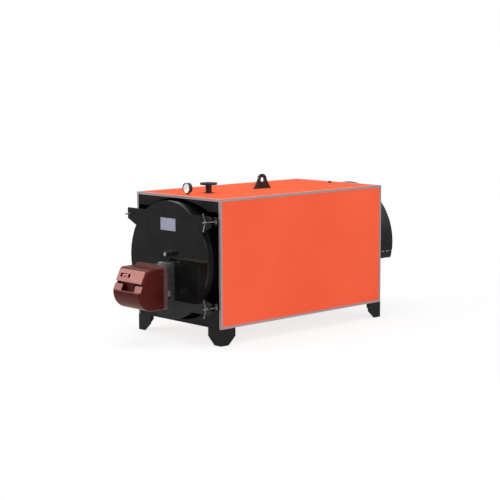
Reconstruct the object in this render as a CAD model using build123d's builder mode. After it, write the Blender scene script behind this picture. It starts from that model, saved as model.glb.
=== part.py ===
from build123d import *
import os
from math import asin, cos, pi, radians, sin, sqrt

os.makedirs("parts", exist_ok=True)

# Fire-tube boiler in millimetres. X runs across the front, Y runs to the rear, Z is up.
# The origin is on the floor, below the middle of the whole machine.

# Casing, measured over its edge trims, and its gaps to the drum
casing_length = 2200.0
side_gap = 59.0
crown_gap = 55.0
leg_height = 157.0
sheet = 2.0
rim_depth = 16.0
trim_width = 23.0
trim_thickness = 2.0
seat_gap = 0.3

# Legs
leg_width = 180.0
leg_foot = 92.0
leg_straight = 78.0
leg_thickness = 10.0

# Base frame
rail_width = 50.0
rail_thickness = 6.0
saddle_thickness = 12.0
saddle_top = 260.0
saddle_setback = 260.0
saddle_inset = 6.0

# Pressure body
drum_radius = 545.0
drum_wall = 8.0
drum_overhang = 42.0
drum_rear_setback = 10.0
flange_width = 25.0
flange_thickness = 8.0
tube_plate_thickness = 14.0
turning_depth = 120.0
furnace_margin = 75.0
furnace_crown = 8.0
furnace_wall = 10.0
furnace_end_gap = 270.0
tube_radius = 35.0
tube_wall = 3.5

# Smoke tube rows: gap to the shell or the row outside, pitch along the row, and the angle it may fill
outer_row_gap = 87.0
outer_row_pitch = 133.0
outer_row_angle = 210.0
middle_row_gap = 115.0
middle_row_pitch = 125.0
middle_row_angle = 175.0
inner_row_gap = 120.0
inner_row_pitch = 104.0
inner_row_angle = 90.0

# Front closing plates
front_plate_thickness = 3.0
upper_plate_shoulder = 120.0
lower_plate_shoulder = 158.0
arch_inset = 115.0
upper_arch_rise = 92.0
lower_arch_drop = 130.0

# Smoke box on the rear
smoke_box_lap = 45.0
smoke_box_depth = 196.0
smoke_box_wall = 4.0
joint_drop = 85.0
joint_thickness = 8.0
joint_width = 20.0
tray_drop = 161.0
spigot_radius = 125.0
spigot_wall = 3.0
spigot_length = 120.0
spigot_rise = 170.0

# Door
door_lap = 15.0
door_standoff = 118.0
door_thickness = 12.0
door_ring_lap = 10.0
door_ring_wall = 10.0
door_ring_gap = 2.0
lining_setback = 10.0
seal_width = 16.0
seal_outer_margin = 1.0
closure_drop = 148.0
ear_margin = 42.0
ear_outer_half = 58.0
ear_inner_half = 46.0
ear_root_angle = 31.6
ear_root_inset = 1.0
ear_round = 40.0
ear_corner = 5.0

# Hinges and closures
pin_radius = 8.0
pin_clearance = 0.05
pin_setback = -18.0
eye_radius = 15.0
eye_height = 34.0
eye_side_gap = 1.0
rod_radius = 6.0
swing_rod_margin = 20.0
hinge_rod_margin = 40.0
slot_clearance = 3.0
bolt_hole_clearance = 0.5
fork_plate = 10.0
fork_nose = 20.0
fork_web = 10.0
fork_back_gap = 13.0
fork_rod_room = 16.0
pin_head = 4.0
pin_head_radius = 13.0
hinge_nut_width = 24.0
hinge_nut_height = 12.0
handle_clearance = 5.0
handle_hub_radius = 13.0
handle_hub_length = 24.0
handle_arm_radius = 4.5
handle_arm_reach = 76.0
handle_arm_sweep = 24.0

# Burner: its nose stands before the casing's front, setbacks are from the nose, and rises and drops
# are from the furnace's middle
burner_width = 400.0
burner_nose = 626.0
cover_top_rise = 192.0
cover_top_setback = 94.0
panel_foot_rise = 68.0
panel_drop = 1.0
nose_drop = 32.0
cover_drop = 196.0
cover_bend_round = 45.0
cover_edge_round = 20.0
rim_reach = 298.0
rim_thickness = 46.0
rim_side = 6.0
rim_rise = 18.0
rim_corner = 22.0
housing_width = 168.0
housing_drop = 147.0
housing_rise = 204.0
housing_corner = 34.0
burner_flange_margin = 6.0

# Recesses in the hood: under its lip, between its two pads, and the grips in its sloping panel
groove_height = 24.0
groove_depth = 24.0
pad_height = 56.0
pad_setback = 14.0
ledge_depth = 12.0
ledge_round = 8.0
left_pad_width = 115.0
right_pad_width = 99.0
recess_depth = 26.0
recess_corner = 8.0
latch_width = 40.0
latch_depth = 45.0
notch_width = 92.0
notch_side_margin = 16.0
grip_height = 38.0
grip_foot = 42.0
grip_depth = 14.0
grip_stroke = 13.0
open_grip_side = 24.0
open_grip_width = 94.0
open_grip_x = -103.0
plain_grip_width = 32.0
plain_grip_x = -22.0
burner_flange_thickness = 12.0
blast_radius = 75.0
blast_wall = 5.0
blast_reach = 150.0
blast_clearance = 3.0

# Door fittings
plate_width = 217.0
plate_height = 117.0
plate_thickness = 2.0
plate_x = 4.0
plate_rise = 338.0
sight_x = 42.0
sight_rise = 67.0
sight_radius = 25.0
sight_bore = 18.0
sight_length = 70.0
sight_flange_radius = 33.0
sight_flange_thickness = 8.0
glass_thickness = 6.0

# Lifting lug
lug_base = 228.0
lug_round = 58.0
lug_hole_radius = 25.0
lug_hole_height = 86.0
lug_thickness = 16.0
slot_margin = 1.0

# Flanged supply nozzle
nozzle_y = 394.0
nozzle_radius = 30.15
nozzle_bore = 27.25
nozzle_height = 97.0
nozzle_flange_radius = 82.5
nozzle_flange_thickness = 19.0
nozzle_bolt_circle = 125.0
nozzle_bolt_radius = 9.0
nozzle_bolt_count = 4
collar_radius = 50.0
collar_thickness = 5.0

# Pressure gauge
gauge_y = 130.0
gauge_rise = 63.0
gauge_radius = 50.0
gauge_depth = 38.0
gauge_bezel = 4.0
gauge_recess = 3.0
dial_thickness = 2.0
stem_radius = 7.0
stem_nut_width = 22.0
stem_nut_height = 14.0

# Plugged socket
socket_rear_margin = 124.0
socket_radius = 21.0
socket_height = 9.0
socket_pipe_radius = 17.0
plug_width = 24.0
plug_height = 8.0

# Sizes that follow from the drum
casing_width = 2 * (drum_radius + side_gap)
casing_height = 2 * (drum_radius + crown_gap)
drum_bore = drum_radius - drum_wall
flange_inner_radius = drum_radius - flange_width
furnace_radius = (drum_bore - furnace_margin + furnace_crown) / 2
furnace_drop = furnace_radius - furnace_crown
outer_row_radius = drum_bore - outer_row_gap
middle_row_radius = outer_row_radius - middle_row_gap
inner_row_radius = middle_row_radius - inner_row_gap
smoke_box_radius = drum_radius + smoke_box_lap
door_radius = drum_radius + door_lap
door_ring_radius = drum_radius + door_ring_lap
closure_x = door_radius
closure_height = drum_radius - closure_drop
ear_reach = closure_x + ear_margin

# Places that follow from the sizes above
lug_y = casing_length / 2
socket_y = casing_length - socket_rear_margin
machine_length = burner_nose + casing_length + smoke_box_depth + spigot_length
front = burner_nose - machine_length / 2
rear = front + casing_length
half_width = casing_width / 2
bottom = leg_height
top = bottom + casing_height
axis_z = bottom + casing_height / 2
skin_x = half_width - trim_thickness
skin_top = top - trim_thickness
skin_bottom = bottom + trim_thickness
door_face = front - door_standoff
door_back = door_face + door_thickness
drum_front = front - drum_overhang
drum_rear = rear - drum_rear_setback
tube_plate_front = drum_front - flange_thickness + turning_depth
ring_back = drum_front - flange_thickness - door_ring_gap
furnace_z = axis_z - furnace_drop
pin_y = front + pin_setback
burner_front = front - burner_nose
cover_top = furnace_z + cover_top_rise
cover_bottom = furnace_z - cover_drop
box_front = rear
box_rear = rear + smoke_box_depth


def drum_crown(x, clearance=seat_gap):
    """Height of the drum's outer surface above the floor at x, with its seat gap."""
    return axis_z + sqrt((drum_radius + clearance) ** 2 - x ** 2)


def tube_places():
    """Centres of the smoke tubes on the tube plates, row by row, as (x, z)."""
    places = []
    rows = (
        (outer_row_radius, outer_row_pitch, outer_row_angle),
        (middle_row_radius, middle_row_pitch, middle_row_angle),
        (inner_row_radius, inner_row_pitch, inner_row_angle),
    )
    for radius, pitch, angle_filled in rows:
        step = 2 * asin(pitch / (2 * radius))
        count = int(radians(angle_filled) / step) + 1
        for index in range(count):
            angle = pi / 2 + (index - (count - 1) / 2) * step
            places.append((radius * cos(angle), axis_z + radius * sin(angle)))
    return places


def upright(y):
    """Plane facing the front at y, with X to the right and Z up, so that it extrudes to the rear."""
    return Plane(origin=(0, y, 0), x_dir=(1, 0, 0), z_dir=(0, -1, 0))


def block(x0, x1, y0, y1, z0, z1):
    """Location of a box's middle, and its three sizes."""
    middle = Location(((x0 + x1) / 2, (y0 + y1) / 2, (z0 + z1) / 2))
    return middle, (x1 - x0, y1 - y0, z1 - z0)


# Legs: an angle of bent plate at each corner, tapered towards the foot
with BuildPart() as legs:
    for corner_y, toward_y in ((front, 1), (rear, -1)):
        for corner_x, toward_x in ((-half_width, 1), (half_width, -1)):
            with BuildSketch(upright(corner_y)):
                with BuildLine():
                    Polyline(
                        (corner_x, leg_height),
                        (corner_x + toward_x * leg_width, leg_height),
                        (corner_x + toward_x * leg_width, leg_straight),
                        (corner_x + toward_x * leg_foot, 0),
                        (corner_x, 0),
                        close=True,
                    )
                make_face()
            extrude(amount=-toward_y * leg_thickness)
            with BuildSketch(Plane(origin=(corner_x, 0, 0), x_dir=(0, 1, 0), z_dir=(1, 0, 0))):
                with BuildLine():
                    Polyline(
                        (corner_y, leg_height),
                        (corner_y + toward_y * leg_width, leg_height),
                        (corner_y + toward_y * leg_width, leg_straight),
                        (corner_y + toward_y * leg_foot, 0),
                        (corner_y, 0),
                        close=True,
                    )
                make_face()
            extrude(amount=toward_x * leg_thickness)
legs.part.label = "legs"
export_step(legs.part, "parts/legs.step")

# Base frame: two angle rails and two saddles that carry the drum
rail_outer = skin_x - sheet
frame_floor = skin_bottom + sheet
with BuildPart() as base_frame:
    rail_y0 = front + trim_thickness + sheet + front_plate_thickness
    rail_y1 = rear - trim_thickness - 2 * sheet
    for side in (-1, 1):
        x0, x1 = sorted((side * rail_outer, side * (rail_outer - rail_width)))
        middle, size = block(x0, x1, rail_y0, rail_y1, frame_floor, frame_floor + rail_thickness)
        with Locations(middle):
            Box(*size)
        x0, x1 = sorted((side * rail_outer, side * (rail_outer - rail_thickness)))
        middle, size = block(x0, x1, rail_y0, rail_y1, frame_floor, frame_floor + rail_width)
        with Locations(middle):
            Box(*size)
    for saddle_y in (front + saddle_setback, rear - saddle_setback - saddle_thickness):
        with BuildSketch(upright(saddle_y)):
            with Locations((0, frame_floor + saddle_top / 2)):
                Rectangle(2 * (rail_outer - saddle_inset), saddle_top)
            with Locations((0, axis_z)):
                Circle(drum_radius + seat_gap, mode=Mode.SUBTRACT)
        extrude(amount=-saddle_thickness)
base_frame.part.label = "base_frame"
export_step(base_frame.part, "parts/base_frame.step")

# Side panels: sheet trays with folded rims
for side_name, side in (("left", -1), ("right", 1)):
    with BuildPart() as side_panel:
        x0, x1 = sorted((side * skin_x, side * (skin_x - rim_depth)))
        y0 = front + trim_thickness
        y1 = rear - trim_thickness
        middle, size = block(x0, x1, y0, y1, skin_bottom, skin_top)
        with Locations(middle):
            Box(*size)
        x0, x1 = sorted((side * (skin_x - sheet), side * (skin_x - rim_depth - sheet)))
        middle, size = block(x0, x1, y0 + sheet, y1 - sheet, skin_bottom + sheet, skin_top - sheet)
        with Locations(middle):
            Box(*size, mode=Mode.SUBTRACT)
    side_panel.part.label = f"side_panel_{side_name}"
    export_step(side_panel.part, f"parts/side_panel_{side_name}.step")

# Top panel: a tray between the side panels, cut for what stands on the drum
top_half = skin_x - rim_depth - seat_gap
with BuildPart() as top_panel:
    y0 = front + trim_thickness
    y1 = rear - trim_thickness
    middle, size = block(-top_half, top_half, y0, y1, skin_top - rim_depth, skin_top)
    with Locations(middle):
        Box(*size)
    inner = top_half - sheet
    middle, size = block(
        -inner, inner, y0 + sheet, y1 - sheet, skin_top - rim_depth - sheet, skin_top - sheet
    )
    with Locations(middle):
        Box(*size, mode=Mode.SUBTRACT)
    with Locations((0, front + lug_y, skin_top)):
        Box(lug_thickness + 2 * slot_margin, lug_base + 2 * slot_margin, 3 * sheet, mode=Mode.SUBTRACT)
    for x, y, radius in (
        (0, nozzle_y, nozzle_radius),
        (0, gauge_y, stem_radius),
        (0, socket_y, socket_pipe_radius),
    ):
        with Locations((x, front + y, skin_top)):
            Cylinder(radius + slot_margin, 3 * sheet, mode=Mode.SUBTRACT)
top_panel.part.label = "top_panel"
export_step(top_panel.part, "parts/top_panel.step")

# Bottom panel: one flat sheet between the side panels
with BuildPart() as bottom_panel:
    y0 = front + trim_thickness + sheet + front_plate_thickness
    y1 = rear - trim_thickness - sheet
    middle, size = block(-top_half, top_half, y0, y1, skin_bottom, skin_bottom + sheet)
    with Locations(middle):
        Box(*size)
bottom_panel.part.label = "bottom_panel"
export_step(bottom_panel.part, "parts/bottom_panel.step")

# Rear panel: closes the casing below and beside the smoke box, inside the panels' rims
plate_half = skin_x - sheet - seat_gap
plate_high = skin_top - rim_depth - seat_gap
tongue_half = top_half - sheet - seat_gap
with BuildPart() as rear_panel:
    with BuildSketch(upright(rear - trim_thickness - 2 * sheet)):
        with Locations((0, (frame_floor + plate_high) / 2)):
            Rectangle(2 * plate_half, plate_high - frame_floor)
        with Locations((0, (plate_high + skin_top - sheet) / 2)):
            Rectangle(2 * tongue_half, skin_top - sheet - plate_high)
        with BuildSketch(mode=Mode.SUBTRACT):
            with Locations((0, axis_z)):
                Circle(drum_radius + seat_gap)
            with Locations((0, axis_z - tray_drop - drum_radius)):
                Rectangle(3 * drum_radius, 2 * drum_radius, mode=Mode.SUBTRACT)
    extrude(amount=-sheet)
rear_panel.part.label = "rear_panel"
export_step(rear_panel.part, "parts/rear_panel.step")

# Edge trims: a frame of angles round each side panel
for side_name, side in (("left", -1), ("right", 1)):
    with BuildPart() as side_trim:
        x0, x1 = sorted((side * half_width, side * (half_width - trim_width)))
        middle, size = block(x0, x1, front, rear, bottom, top)
        with Locations(middle):
            Box(*size)
        x0, x1 = sorted((side * skin_x, side * (half_width - trim_width - sheet)))
        middle, size = block(
            x0, x1, front + trim_thickness, rear - trim_thickness, skin_bottom, skin_top
        )
        with Locations(middle):
            Box(*size, mode=Mode.SUBTRACT)
        x0, x1 = sorted((side * (half_width + sheet), side * (skin_x - sheet)))
        middle, size = block(
            x0, x1, front + trim_width, rear - trim_width, bottom + trim_width, top - trim_width
        )
        with Locations(middle):
            Box(*size, mode=Mode.SUBTRACT)
    side_trim.part.label = f"edge_trim_{side_name}"
    export_step(side_trim.part, f"parts/edge_trim_{side_name}.step")

# Edge trims across the top, between the side frames
trim_inner = half_width - trim_width
with BuildPart() as edge_trims_across:
    for edge_y, inward in ((front, 1), (rear, -1)):
        y0, y1 = sorted((edge_y, edge_y + inward * trim_width))
        middle, size = block(-trim_inner, trim_inner, y0, y1, skin_top, top)
        with Locations(middle):
            Box(*size)
        y0, y1 = sorted((edge_y, edge_y + inward * trim_thickness))
        middle, size = block(-trim_inner, trim_inner, y0, y1, top - trim_width, top)
        with Locations(middle):
            Box(*size)
edge_trims_across.part.label = "edge_trims_across"
export_step(edge_trims_across.part, "parts/edge_trims_across.step")

# Front closing plates, seated behind the side panels' front rims
plate_front = front + trim_thickness + sheet
upper_low = top - upper_plate_shoulder
lower_high = bottom + lower_plate_shoulder
arch_half_width = drum_radius - arch_inset
with BuildPart() as front_upper_plate:
    with BuildSketch(upright(plate_front)):
        with BuildLine():
            Polyline(
                (arch_half_width, upper_low),
                (plate_half, upper_low),
                (plate_half, plate_high),
                (-plate_half, plate_high),
                (-plate_half, upper_low),
                (-arch_half_width, upper_low),
            )
            ThreePointArc(
                (-arch_half_width, upper_low),
                (0, upper_low + upper_arch_rise),
                (arch_half_width, upper_low),
            )
        make_face()
        with Locations((0, (plate_high + skin_top - sheet) / 2)):
            Rectangle(2 * tongue_half, skin_top - sheet - plate_high)
    extrude(amount=-front_plate_thickness)
front_upper_plate.part.label = "front_upper_plate"
export_step(front_upper_plate.part, "parts/front_upper_plate.step")

with BuildPart() as front_lower_plate:
    with BuildSketch(upright(plate_front)):
        with BuildLine():
            Polyline(
                (arch_half_width, lower_high),
                (plate_half, lower_high),
                (plate_half, frame_floor),
                (-plate_half, frame_floor),
                (-plate_half, lower_high),
                (-arch_half_width, lower_high),
            )
            ThreePointArc(
                (-arch_half_width, lower_high),
                (0, lower_high - lower_arch_drop),
                (arch_half_width, lower_high),
            )
        make_face()
        with Locations((0, (bottom + frame_floor) / 2)):
            Rectangle(2 * (trim_inner - seat_gap), frame_floor - bottom)
    extrude(amount=-front_plate_thickness)
front_lower_plate.part.label = "front_lower_plate"
export_step(front_lower_plate.part, "parts/front_lower_plate.step")

# Drum: the rolled shell with its flange for the door seal
with BuildPart() as drum_shell:
    with BuildSketch(upright(drum_front)):
        with Locations((0, axis_z)):
            Circle(drum_radius)
            Circle(drum_bore, mode=Mode.SUBTRACT)
    extrude(amount=-(drum_rear - drum_front))
    with BuildSketch(upright(drum_front - flange_thickness)):
        with Locations((0, axis_z)):
            Circle(drum_radius)
            Circle(flange_inner_radius, mode=Mode.SUBTRACT)
    extrude(amount=-flange_thickness)
    with Locations((0, front + nozzle_y, axis_z + drum_radius)):
        Cylinder(nozzle_bore, 4 * drum_wall, mode=Mode.SUBTRACT)
drum_shell.part.label = "drum_shell"
export_step(drum_shell.part, "parts/drum_shell.step")

# Tube plates, inside the shell
for plate_name, plate_y, has_furnace in (
    ("front_tube_plate", tube_plate_front, True),
    ("rear_tube_plate", drum_rear - tube_plate_thickness, False),
):
    with BuildPart() as tube_plate:
        with BuildSketch(upright(plate_y)):
            with Locations((0, axis_z)):
                Circle(drum_bore - seat_gap)
            with Locations(*tube_places()):
                Circle(tube_radius + seat_gap, mode=Mode.SUBTRACT)
            if has_furnace:
                with Locations((0, furnace_z)):
                    Circle(furnace_radius + seat_gap, mode=Mode.SUBTRACT)
        extrude(amount=-tube_plate_thickness)
    tube_plate.part.label = plate_name
    export_step(tube_plate.part, f"parts/{plate_name}.step")

# Furnace: a blind fire tube
furnace_length = drum_rear - tube_plate_front - furnace_end_gap
with BuildPart() as furnace_tube:
    with BuildSketch(upright(tube_plate_front)):
        with Locations((0, furnace_z)):
            Circle(furnace_radius)
    extrude(amount=-furnace_length)
    with BuildSketch(upright(tube_plate_front)):
        with Locations((0, furnace_z)):
            Circle(furnace_radius - furnace_wall)
    extrude(amount=-(furnace_length - furnace_wall), mode=Mode.SUBTRACT)
furnace_tube.part.label = "furnace_tube"
export_step(furnace_tube.part, "parts/furnace_tube.step")

# Smoke tubes, from tube plate to tube plate
with BuildPart() as smoke_tubes:
    with BuildSketch(upright(tube_plate_front)):
        with Locations(*tube_places()):
            Circle(tube_radius)
            Circle(tube_radius - tube_wall, mode=Mode.SUBTRACT)
    extrude(amount=-(drum_rear - tube_plate_front))
smoke_tubes.part.label = "smoke_tubes"
export_step(smoke_tubes.part, "parts/smoke_tubes.step")


def smoke_box_band(high, low, closed_low):
    """Part of the round smoke box between two heights above the axis, open to the tubes."""
    with BuildPart() as band:
        with BuildSketch(upright(box_front)):
            with Locations((0, axis_z)):
                Circle(smoke_box_radius)
            with Locations((0, axis_z + (high + low) / 2)):
                Rectangle(3 * smoke_box_radius, high - low, mode=Mode.INTERSECT)
        extrude(amount=-smoke_box_depth)
        floor = low + smoke_box_wall if closed_low else low - smoke_box_wall
        ceiling = high + smoke_box_wall
        with BuildSketch(upright(box_front + smoke_box_wall)):
            with Locations((0, axis_z)):
                Circle(smoke_box_radius - smoke_box_wall)
            with Locations((0, axis_z + (ceiling + floor) / 2)):
                Rectangle(3 * smoke_box_radius, ceiling - floor, mode=Mode.INTERSECT)
        extrude(amount=-(smoke_box_depth - 2 * smoke_box_wall), mode=Mode.SUBTRACT)
        with BuildSketch(upright(box_front)):
            with Locations((0, axis_z)):
                Circle(drum_bore)
            with Locations((0, axis_z + (ceiling + floor) / 2)):
                Rectangle(3 * smoke_box_radius, ceiling - floor, mode=Mode.INTERSECT)
        extrude(amount=-smoke_box_wall, mode=Mode.SUBTRACT)
        with BuildSketch(upright(drum_rear)):
            with Locations((0, axis_z)):
                Circle(drum_radius)
                Circle(drum_bore, mode=Mode.SUBTRACT)
            with Locations((0, axis_z + (high + low) / 2)):
                Rectangle(3 * smoke_box_radius, high - low, mode=Mode.INTERSECT)
        extrude(amount=-(box_front - drum_rear))
    return band


# Smoke box: the round hood over the tube ends, with the flue opening in its rear wall
smoke_hood = smoke_box_band(smoke_box_radius, -joint_drop, False)
with BuildPart() as smoke_box:
    add(smoke_hood.part)
    with Locations(Location((0, box_rear, axis_z + spigot_rise), (90, 0, 0))):
        Cylinder(spigot_radius - spigot_wall, 4 * smoke_box_wall, mode=Mode.SUBTRACT)
smoke_box.part.label = "smoke_box"
export_step(smoke_box.part, "parts/smoke_box.step")

# Soot tray: the flat-bottomed part below the joint
soot_tray = smoke_box_band(-joint_drop - joint_thickness, -tray_drop, True)
soot_tray.part.label = "soot_tray"
export_step(soot_tray.part, "parts/soot_tray.step")

# Joint strip between smoke box and tray
joint_half = sqrt(smoke_box_radius ** 2 - (joint_drop + joint_thickness) ** 2)
with BuildPart() as smoke_box_joint:
    middle, size = block(
        -joint_half, joint_half, box_front, box_rear,
        axis_z - joint_drop - joint_thickness, axis_z - joint_drop,
    )
    with Locations(middle):
        Box(*size)
    middle, size = block(
        -(joint_half - joint_width), joint_half - joint_width, box_front - sheet, box_rear - joint_width,
        axis_z - joint_drop - 2 * joint_thickness, axis_z - joint_drop + joint_thickness,
    )
    with Locations(middle):
        Box(*size, mode=Mode.SUBTRACT)
smoke_box_joint.part.label = "smoke_box_joint"
export_step(smoke_box_joint.part, "parts/smoke_box_joint.step")

# Flue spigot on the smoke box
with BuildPart() as flue_spigot:
    with BuildSketch(upright(box_rear)):
        with Locations((0, axis_z + spigot_rise)):
            Circle(spigot_radius)
            Circle(spigot_radius - spigot_wall, mode=Mode.SUBTRACT)
    extrude(amount=-spigot_length)
flue_spigot.part.label = "flue_spigot"
export_step(flue_spigot.part, "parts/flue_spigot.step")

# Lifting lug, standing on the drum's crown
lug_middle_y = front + lug_y
lug_hole_z = top + lug_hole_height
with BuildPart() as lifting_lug:
    with BuildSketch(Plane(origin=(-lug_thickness / 2, 0, 0), x_dir=(0, 1, 0), z_dir=(1, 0, 0))):
        with BuildSketch():
            with Locations((lug_middle_y, lug_hole_z)):
                Circle(lug_round)
            with BuildLine():
                Polyline(
                    (lug_middle_y - lug_base / 2, top),
                    (lug_middle_y + lug_base / 2, top),
                    (lug_middle_y + lug_round, lug_hole_z),
                    (lug_middle_y - lug_round, lug_hole_z),
                    close=True,
                )
            make_face()
        foot_z = drum_crown(0)
        with Locations((lug_middle_y, (top + foot_z) / 2)):
            Rectangle(lug_base, top - foot_z)
        with Locations((lug_middle_y, lug_hole_z)):
            Circle(lug_hole_radius, mode=Mode.SUBTRACT)
    extrude(amount=lug_thickness)
lifting_lug.part.label = "lifting_lug"
export_step(lifting_lug.part, "parts/lifting_lug.step")

# Supply nozzle: flanged pipe on the drum
nozzle_place = (0, front + nozzle_y, 0)
with BuildPart() as supply_nozzle:
    with BuildSketch(Plane.XY.offset(axis_z)):
        with Locations(nozzle_place):
            Circle(nozzle_radius)
    extrude(amount=top + nozzle_height - axis_z)
    with BuildSketch(upright(front)):
        with Locations((0, axis_z)):
            Circle(drum_radius + seat_gap)
    extrude(amount=-casing_length, mode=Mode.SUBTRACT)
    with BuildSketch(Plane.XY.offset(top + nozzle_height - nozzle_flange_thickness)):
        with Locations(nozzle_place):
            Circle(nozzle_flange_radius)
            with PolarLocations(nozzle_bolt_circle / 2, nozzle_bolt_count, start_angle=45):
                Circle(nozzle_bolt_radius, mode=Mode.SUBTRACT)
    extrude(amount=nozzle_flange_thickness)
    with Locations((0, front + nozzle_y, top)):
        Cylinder(nozzle_bore, casing_height / 2, mode=Mode.SUBTRACT)
supply_nozzle.part.label = "supply_nozzle"
export_step(supply_nozzle.part, "parts/supply_nozzle.step")

# Collar that covers the hole round the supply nozzle
with BuildPart() as nozzle_collar:
    with BuildSketch(Plane.XY.offset(skin_top)):
        with Locations(nozzle_place):
            Circle(collar_radius)
            Circle(nozzle_radius + seat_gap, mode=Mode.SUBTRACT)
    extrude(amount=collar_thickness)
nozzle_collar.part.label = "nozzle_collar"
export_step(nozzle_collar.part, "parts/nozzle_collar.step")

# Pressure gauge: a round case on a stem, facing the front
gauge_z = skin_top + gauge_rise
gauge_front = front + gauge_y - gauge_depth / 2
with BuildPart() as gauge_case:
    with BuildSketch(upright(gauge_front)):
        with Locations((0, gauge_z)):
            Circle(gauge_radius)
    extrude(amount=-gauge_depth)
    with BuildSketch(upright(gauge_front)):
        with Locations((0, gauge_z)):
            Circle(gauge_radius - gauge_bezel)
    extrude(amount=-(gauge_recess + dial_thickness), mode=Mode.SUBTRACT)
    stem_foot = drum_crown(0) + seat_gap
    with BuildSketch(Plane.XY.offset(stem_foot)):
        with Locations((0, front + gauge_y)):
            Circle(stem_radius)
    extrude(amount=gauge_z - gauge_radius + gauge_bezel - stem_foot)
    nut_base = gauge_z - gauge_radius - stem_nut_height + sheet
    with BuildSketch(Plane.XY.offset(nut_base)):
        with Locations((0, front + gauge_y)):
            RegularPolygon(stem_nut_width / 2, 6, major_radius=False)
    extrude(amount=stem_nut_height)
gauge_case.part.label = "gauge_case"
export_step(gauge_case.part, "parts/gauge_case.step")

with BuildPart() as gauge_dial:
    with BuildSketch(upright(gauge_front + gauge_recess)):
        with Locations((0, gauge_z)):
            Circle(gauge_radius - gauge_bezel - seat_gap)
    extrude(amount=-dial_thickness)
gauge_dial.part.label = "gauge_dial"
export_step(gauge_dial.part, "parts/gauge_dial.step")

# Plugged socket near the rear of the top
with BuildPart() as top_socket:
    with BuildSketch(Plane.XY.offset(axis_z)):
        with Locations((0, front + socket_y)):
            Circle(socket_pipe_radius)
    extrude(amount=skin_top + socket_height - axis_z)
    with BuildSketch(upright(front)):
        with Locations((0, axis_z)):
            Circle(drum_radius + seat_gap)
    extrude(amount=-casing_length, mode=Mode.SUBTRACT)
    with BuildSketch(Plane.XY.offset(skin_top)):
        with Locations((0, front + socket_y)):
            Circle(socket_radius)
    extrude(amount=socket_height)
    with BuildSketch(Plane.XY.offset(skin_top + socket_height)):
        with Locations((0, front + socket_y)):
            RegularPolygon(plug_width / 2, 6, major_radius=False)
    extrude(amount=plug_height)
top_socket.part.label = "top_socket"
export_step(top_socket.part, "parts/top_socket.step")

# Door plate: a disc with four ears, open slots at the right and bolt holes at the left
rod_slot = rod_radius + slot_clearance
sight_z = axis_z + sight_rise
root_radius = door_radius - ear_root_inset
ear_root_x = root_radius * cos(radians(ear_root_angle))
ear_root_height = root_radius * sin(radians(ear_root_angle))
with BuildPart() as door_plate:
    with BuildSketch(upright(door_face)):
        with Locations((0, axis_z)):
            Circle(door_radius)
        for side in (-1, 1):
            corner = ear_corner if side < 0 else ear_round
            for rise in (-1, 1):
                with BuildSketch():
                    with BuildLine():
                        Polyline(
                            (0, axis_z),
                            (0, axis_z + rise * (closure_height + ear_outer_half)),
                            (side * ear_reach, axis_z + rise * (closure_height + ear_outer_half)),
                            (side * ear_reach, axis_z + rise * (closure_height - ear_inner_half)),
                            (side * ear_root_x, axis_z + rise * ear_root_height),
                            close=True,
                        )
                    make_face()
                    fillet(vertices().group_by(Axis.X)[0 if side < 0 else -1], corner)
        for rise in (-1, 1):
            closure_z = axis_z + rise * closure_height
            with Locations((closure_x, closure_z)):
                Circle(rod_slot, mode=Mode.SUBTRACT)
            with Locations(((closure_x + ear_reach + rod_slot) / 2, closure_z)):
                Rectangle(ear_reach + rod_slot - closure_x, 2 * rod_slot, mode=Mode.SUBTRACT)
            with Locations((-closure_x, closure_z)):
                Circle(rod_radius + bolt_hole_clearance, mode=Mode.SUBTRACT)
        with Locations((0, furnace_z)):
            Circle(blast_radius + blast_clearance, mode=Mode.SUBTRACT)
        with Locations((sight_x, sight_z)):
            Circle(sight_bore, mode=Mode.SUBTRACT)
    extrude(amount=-door_thickness)
door_plate.part.label = "door_plate"
export_step(door_plate.part, "parts/door_plate.step")

# Door ring: the rolled band behind the plate
with BuildPart() as door_ring:
    with BuildSketch(upright(door_back)):
        with Locations((0, axis_z)):
            Circle(door_ring_radius)
            Circle(door_ring_radius - door_ring_wall, mode=Mode.SUBTRACT)
    extrude(amount=-(ring_back - door_back))
door_ring.part.label = "door_ring"
export_step(door_ring.part, "parts/door_ring.step")

# Door lining: refractory inside the ring, with a step for the rope seal
lining_radius = door_ring_radius - door_ring_wall - seat_gap
lining_back = ring_back - lining_setback
with BuildPart() as door_lining:
    with BuildSketch(upright(door_back)):
        with Locations((0, axis_z)):
            Circle(lining_radius)
        with Locations((0, furnace_z)):
            Circle(blast_radius + blast_clearance, mode=Mode.SUBTRACT)
        with Locations((sight_x, sight_z)):
            Circle(sight_bore, mode=Mode.SUBTRACT)
    extrude(amount=-(lining_back - door_back))
door_lining.part.label = "door_lining"
export_step(door_lining.part, "parts/door_lining.step")

# Rope seal between lining and drum flange
seal_outer = lining_radius - seal_outer_margin
with BuildPart() as door_seal:
    with BuildSketch(upright(lining_back)):
        with Locations((0, axis_z)):
            Circle(seal_outer)
            Circle(seal_outer - seal_width, mode=Mode.SUBTRACT)
    extrude(amount=-(drum_front - flange_thickness - seat_gap - lining_back))
door_seal.part.label = "door_seal"
export_step(door_seal.part, "parts/door_seal.step")

# Plain plate on the door
with BuildPart() as blank_plate:
    with BuildSketch(upright(door_face)):
        with Locations((plate_x, axis_z + plate_rise)):
            Rectangle(plate_width, plate_height)
    extrude(amount=plate_thickness)
blank_plate.part.label = "blank_plate"
export_step(blank_plate.part, "parts/blank_plate.step")

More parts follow.
